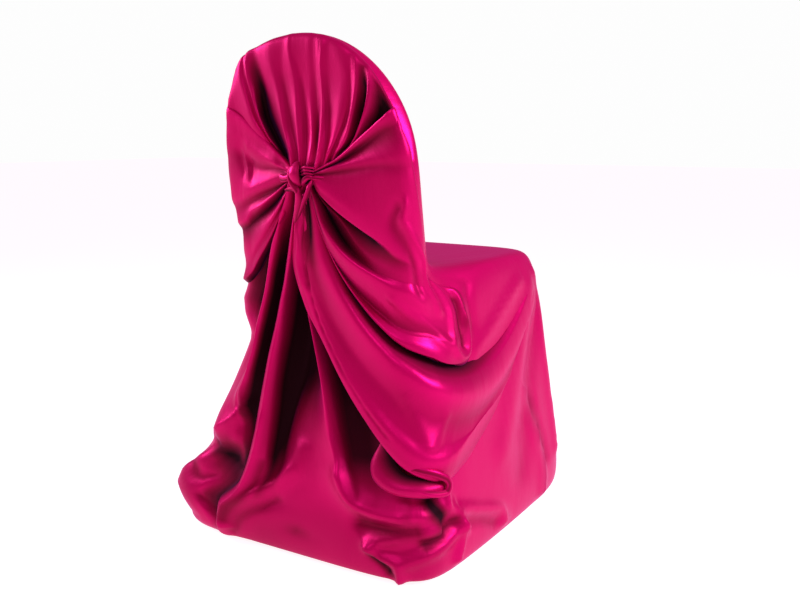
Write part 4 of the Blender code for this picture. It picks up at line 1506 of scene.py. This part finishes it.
@dataclass(kw_only=True)
class CoverBody(ClothPiece):
    """The one-piece cover: hood, seat panel and skirt, open underneath.

    Attributes:
        uprights: The folds of its rear, from left to right, each from the crest down.
        soft_folds: The soft folds laid over all of it.
        area: Its flat area in square metres; not used.
        rows: How far down the form its rows are, as a row's number and its place in sections.
        between: How many columns are taken from fold to fold.
        steps: Steps along each part of an upright's path.
        rounds: How often the columns are brought nearer to the uprights.
        crest: The place down the form where the folds begin.
        crest_over: How many sections they take to be full.
        calm_from: The height above which the folds are shallower, in metres.
        calm_over: The height that this takes.
        calm: How much shallower they are.
        dusk_from: The height above which shade is painted over the top, in metres.
        dusk: How much shade is painted there.
        pleats_from: The height above which shade is painted between pleats, in metres.
        pleats_over: The height that this takes.
        hollow_from: How far a point lies below its neighbours when painted shade begins on it, in
            metres.
        hollow_over: How much further it lies when the painted shade is full.
    """

    uprights: tuple[Fold, ...] = UPRIGHTS
    soft_folds: tuple[SoftFold, ...] = SOFT_FOLDS
    area: float
    rows: tuple[Mark, ...] = (
        (0, -1.0), (10, 0.6), (72, 6.0), (86, 7.5), (100, 10.0), (160, 16.0), (166, 18.0),
    )
    between: int = 4
    steps: int = 10
    rounds: int = 4
    crest: float = -0.9
    crest_over: float = 2.6
    calm_from: float = 0.76
    calm_over: float = 0.08
    calm: float = 0.4
    dusk_from: float = 0.7
    dusk: float = 0.15
    pleats_from: float = 0.60
    pleats_over: float = 0.06
    hollow_from: float = 0.004
    hollow_over: float = 0.016

    def build(self) -> None:
        """Shape the cover as one grid whose front mirrors the places of its rear columns."""
        log.debug("%s: %s", self.name, ", ".join(fold.name for fold in self.uprights))
        steps, places = np.array(self.rows).T
        down = np.interp(np.arange(steps[-1] + 1), steps, places)
        across, stand, shade = self._rear_grid(down)
        rear = FORM.around(across)
        front = np.tile((FORM.half - rear[0])[::-1], (len(down), 1))[:, 1:]
        around = np.hstack([rear, front])
        stand = np.hstack([stand, np.zeros_like(front)])
        shade = np.hstack([shade, np.zeros_like(front)])
        rows = np.repeat(down, around.shape[1])
        height = FORM.points(around.ravel(), rows)[:, 2]
        labels = np.column_stack([FORM.across(around.ravel()), height])
        weights = [fold.weight(labels) for fold in self.soft_folds]
        soft = sum(w * fold.rise for w, fold in zip(weights, self.soft_folds)) * MILLIMETRE
        # shade painted along the soft folds
        painted_soft_shade = sum(w * fold.painted_shade for w, fold in zip(weights, self.soft_folds))
        lift = (stand.ravel() + soft) * smooth_step((rows - self.crest) / self.crest_over)
        points = above_floor(FORM.off(around.ravel(), rows, lift))
        # shade painted between the upper pleats
        hollow = self._pleat_shade(lift.reshape(shade.shape), height.reshape(shade.shape))
        shade = np.maximum(np.maximum(shade, hollow), painted_soft_shade.reshape(shade.shape))
        self.piece = new_grid(self.name, points.reshape(*around.shape, 3), shade)
        turn_outwards(self.piece, merge=True)
        give_thickness(self.piece, -1.0)

    def declare_sheet(self) -> None:
        """Do nothing: how the cover was cut and how it is held is only kept in its fields."""

    def _rear_grid(self, down: Array) -> tuple[Array, Array, Array]:
        """Work out the columns of the rear.

        Args:
            down: The places of the rows down the form.

        Returns:
            The across value, the stand and the shade of each column at each row, in metres.
        """
        curves = [curve_through(fold.path, self.steps) for fold in self.uprights]
        middles = [fold.path[len(fold.path) // 2][0] * MILLIMETRE for fold in self.uprights]
        across = np.tile(middles, (len(down), 1))
        rows = np.repeat(down, len(curves))
        for _ in range(self.rounds):
            around = FORM.around(across.ravel())
            height = FORM.points(around, rows)[:, 2].reshape(across.shape)
            for j, curve in enumerate(curves):
                across[:, j] = np.interp(-height[:, j], -curve[:, 1], curve[:, 0])
        stand, shade = np.empty_like(across), np.empty_like(across)
        for j, (curve, fold) in enumerate(zip(curves, self.uprights)):
            stand[:, j] = np.interp(-height[:, j], -curve[:, 1], curve[:, 2])
            shade[:, j] = fold.shades(height[:, j] / MILLIMETRE)
        stand *= 1.0 - self.calm * smooth_step((height - self.calm_from) / self.calm_over)
        # shade painted over the top of the hood
        dusk = self.dusk * smooth_step((height - self.dusk_from) / self.calm_over)
        shade = np.maximum(shade, dusk)
        places = np.stack([across.T, stand.T], axis=-1)
        table = across_folds(places, roundness_of(self.uprights), self.between)
        shade = across_folds(shade.T, np.zeros(len(curves)), self.between)
        return table[..., 0].T, table[..., 1].T, shade.T

    def _pleat_shade(self, lift: Array, height: Array) -> Array:
        """Paint shade into the cloth between the upper pleats.

        Args:
            lift: How far each point stands off the form, in metres.
            height: The height of each point, in metres.

        Returns:
            The shade of each, from how far it lies below its neighbours.
        """
        reach = 2 * self.between
        near = np.stack([np.roll(lift, shift, axis=1) for shift in range(-reach, reach + 1)])
        depth = near.max(axis=0) - lift
        pleated = smooth_step((height - self.pleats_from) / self.pleats_over)
        return smooth_step((depth - self.hollow_from) / self.hollow_over) * pleated


# ------------------------------------------------------------------ the studio
@dataclass(frozen=True)
class Softbox:
    """A wide lamp that faces the cover. Its angles are in degrees and its power in watts."""

    azimuth: float
    elevation: float
    distance: float
    size: float
    power: float
    colour: Colour = (1.0, 0.9, 1.42)


@dataclass(frozen=True)
class Studio:
    """A plain pale floor, soft lamps and the camera."""

    azimuth: float = 32.0
    elevation: float = 10.1
    distance: float = 1.865
    lens: float = 42.37
    aim: tuple[float, float, float] = (0.0056, 0.0, 0.4163)
    lamps: tuple[Softbox, ...] = (
        Softbox(90.0, 32.0, 2.6, 1.2, 74.0),
        Softbox(-68.0, 26.0, 2.8, 1.3, 56.0),
        Softbox(12.0, 44.0, 3.0, 0.9, 14.0),
    )
    air: float = 0.38  # strength of the light from all round
    air_colour: Colour = (1.0, 0.35, 0.62)
    wall_colour: Colour = (0.985, 0.985, 0.985)
    floor_colour: Colour = (0.35, 0.35, 0.35)
    floor_glow: float = 0.9
    floor_size: float = 40.0
    floor_drop: float = 0.001  # how far the floor lies below the hem

    def build(self) -> None:
        """Make the floor, the lamps and the camera."""
        camera = bpy.data.objects.new("camera", bpy.data.cameras.new("camera"))
        camera.data.lens = self.lens
        self._place(camera, self.azimuth, self.elevation, self.distance)
        bpy.context.scene.camera = camera
        for number, lamp in enumerate(self.lamps):
            data = bpy.data.lights.new(f"softbox_{number}", "AREA")
            data.size = lamp.size
            data.energy = lamp.power
            data.color = lamp.colour
            holder = bpy.data.objects.new(data.name, data)
            self._place(holder, lamp.azimuth, lamp.elevation, lamp.distance)
        self._floor()
        self._air()
        bpy.context.scene.view_settings.view_transform = "Standard"

    def _place(
        self, thing: bpy.types.Object, azimuth: float, elevation: float, distance: float
    ) -> None:
        """Put a camera or lamp into the scene, facing the aim.

        Args:
            thing: The camera or lamp.
            azimuth: Its angle round the aim, in degrees from the rear to the right.
            elevation: Its angle above the aim, in degrees.
            distance: Its distance from the aim.
        """
        turn, rise = np.radians(azimuth), np.radians(elevation)
        away = np.array([np.sin(turn) * np.cos(rise), -np.cos(turn) * np.cos(rise), np.sin(rise)])
        bpy.context.collection.objects.link(thing)
        thing.location = np.array(self.aim) - np.array(FORM.origin) + away * distance
        thing.rotation_euler = Vector(-away).to_track_quat("-Z", "Y").to_euler()

    def _air(self) -> None:
        """Light the air softly from all round, before a plain pale wall."""
        world = bpy.data.worlds.new("studio_air")
        bpy.context.scene.world = world
        nodes = Nodes(world)
        light = {"Color": (*self.air_colour, 1.0), "Strength": self.air}
        air = nodes.add("ShaderNodeBackground", {}, light)
        wall = nodes.add("ShaderNodeBackground", {}, {"Color": (*self.wall_colour, 1.0)})
        seen = nodes.add("ShaderNodeLightPath", {}, {}, "Is Camera Ray")
        either = nodes.add("ShaderNodeMixShader", {}, {"Fac": seen, 1: air, 2: wall})
        nodes.node("ShaderNodeOutputWorld", {}, {"Surface": either})

    def _floor(self) -> None:
        """Make the floor, well past the view on all sides."""
        select_only()
        place = (0.0, 0.0, FLOOR_Z - self.floor_drop)
        bpy.ops.mesh.primitive_plane_add(size=self.floor_size, location=place)
        floor = bpy.context.active_object
        floor.name = "studio_floor"
        material = bpy.data.materials.new("pale_floor")
        nodes = Nodes(material)
        matt = {
            "Base Color": (*self.floor_colour, 1.0),
            "Roughness": 0.9,
            "Emission Color": (1.0, 1.0, 1.0, 1.0),
            "Emission Strength": self.floor_glow,
        }
        shader = nodes.add("ShaderNodeBsdfPrincipled", {}, matt, "BSDF")
        nodes.node("ShaderNodeOutputMaterial", {}, {"Surface": shader})
        floor.data.materials.append(material)


def main() -> None:
    """Build and dress all the cloth in the studio."""
    logging.basicConfig(level=logging.INFO, format="%(message)s")
    Studio().build()
    cover_satin = COVER_SATIN.make()
    sash_satin = SASH_SATIN.make()
    of_cover = {"finish": cover_satin, "slot": Slot.COVER}
    of_sash = {"finish": sash_satin, "slot": Slot.SASH}
    pieces = (
        CoverBody(
            name="cover_cloth", node="cover", flat=(1.9, 1.25), area=1.7, held=Held.DRAPED,
            rests_on="chair_top", **of_cover,
        ),
        FoldedSheet(
            name="right_wing_cloth", node="sash_wing_right", flat=(0.42, 0.25),
            folds=RIGHT_WING_FOLDS, dents=RIGHT_WING_DENTS, stations=120, between=9, gathers=2.0,
            **of_sash,
        ),
        FoldedSheet(
            name="left_wing_cloth", node="sash_wing_left", flat=(0.30, 0.20),
            folds=LEFT_WING_FOLDS, dents=LEFT_WING_DENTS, stations=90, between=8, gathers=1.8,
            **of_sash,
        ),
        FoldedSheet(
            name="back_drape_cloth", node="back_drape", flat=(0.85, 0.16),
            folds=DRAPE_FOLDS, dents=DRAPE_DENTS, stations=170, between=10, gathers=1.2,
            **of_cover,
        ),
        FoldedSheet(
            name="drape_loop_cloth", flat=(0.17, 0.075), folds=LOOP_FOLDS, stations=70,
            between=14, **of_cover,
        ),
        TiedEnd(name="knot_cloth", node="sash_knot", strands=KNOT_STRANDS, **of_sash),
        TiedEnd(name="tail_cloth", node="sash_tail", strands=TAIL_STRANDS, **of_sash),
        TiedEnd(
            name="drape_curl_cloth", strands=CURL_STRANDS, finish=cover_satin, slot=Slot.SASH
        ),
    )
    for piece in pieces:
        piece.build()
        piece.dress()


if __name__ == "__main__":
    main()
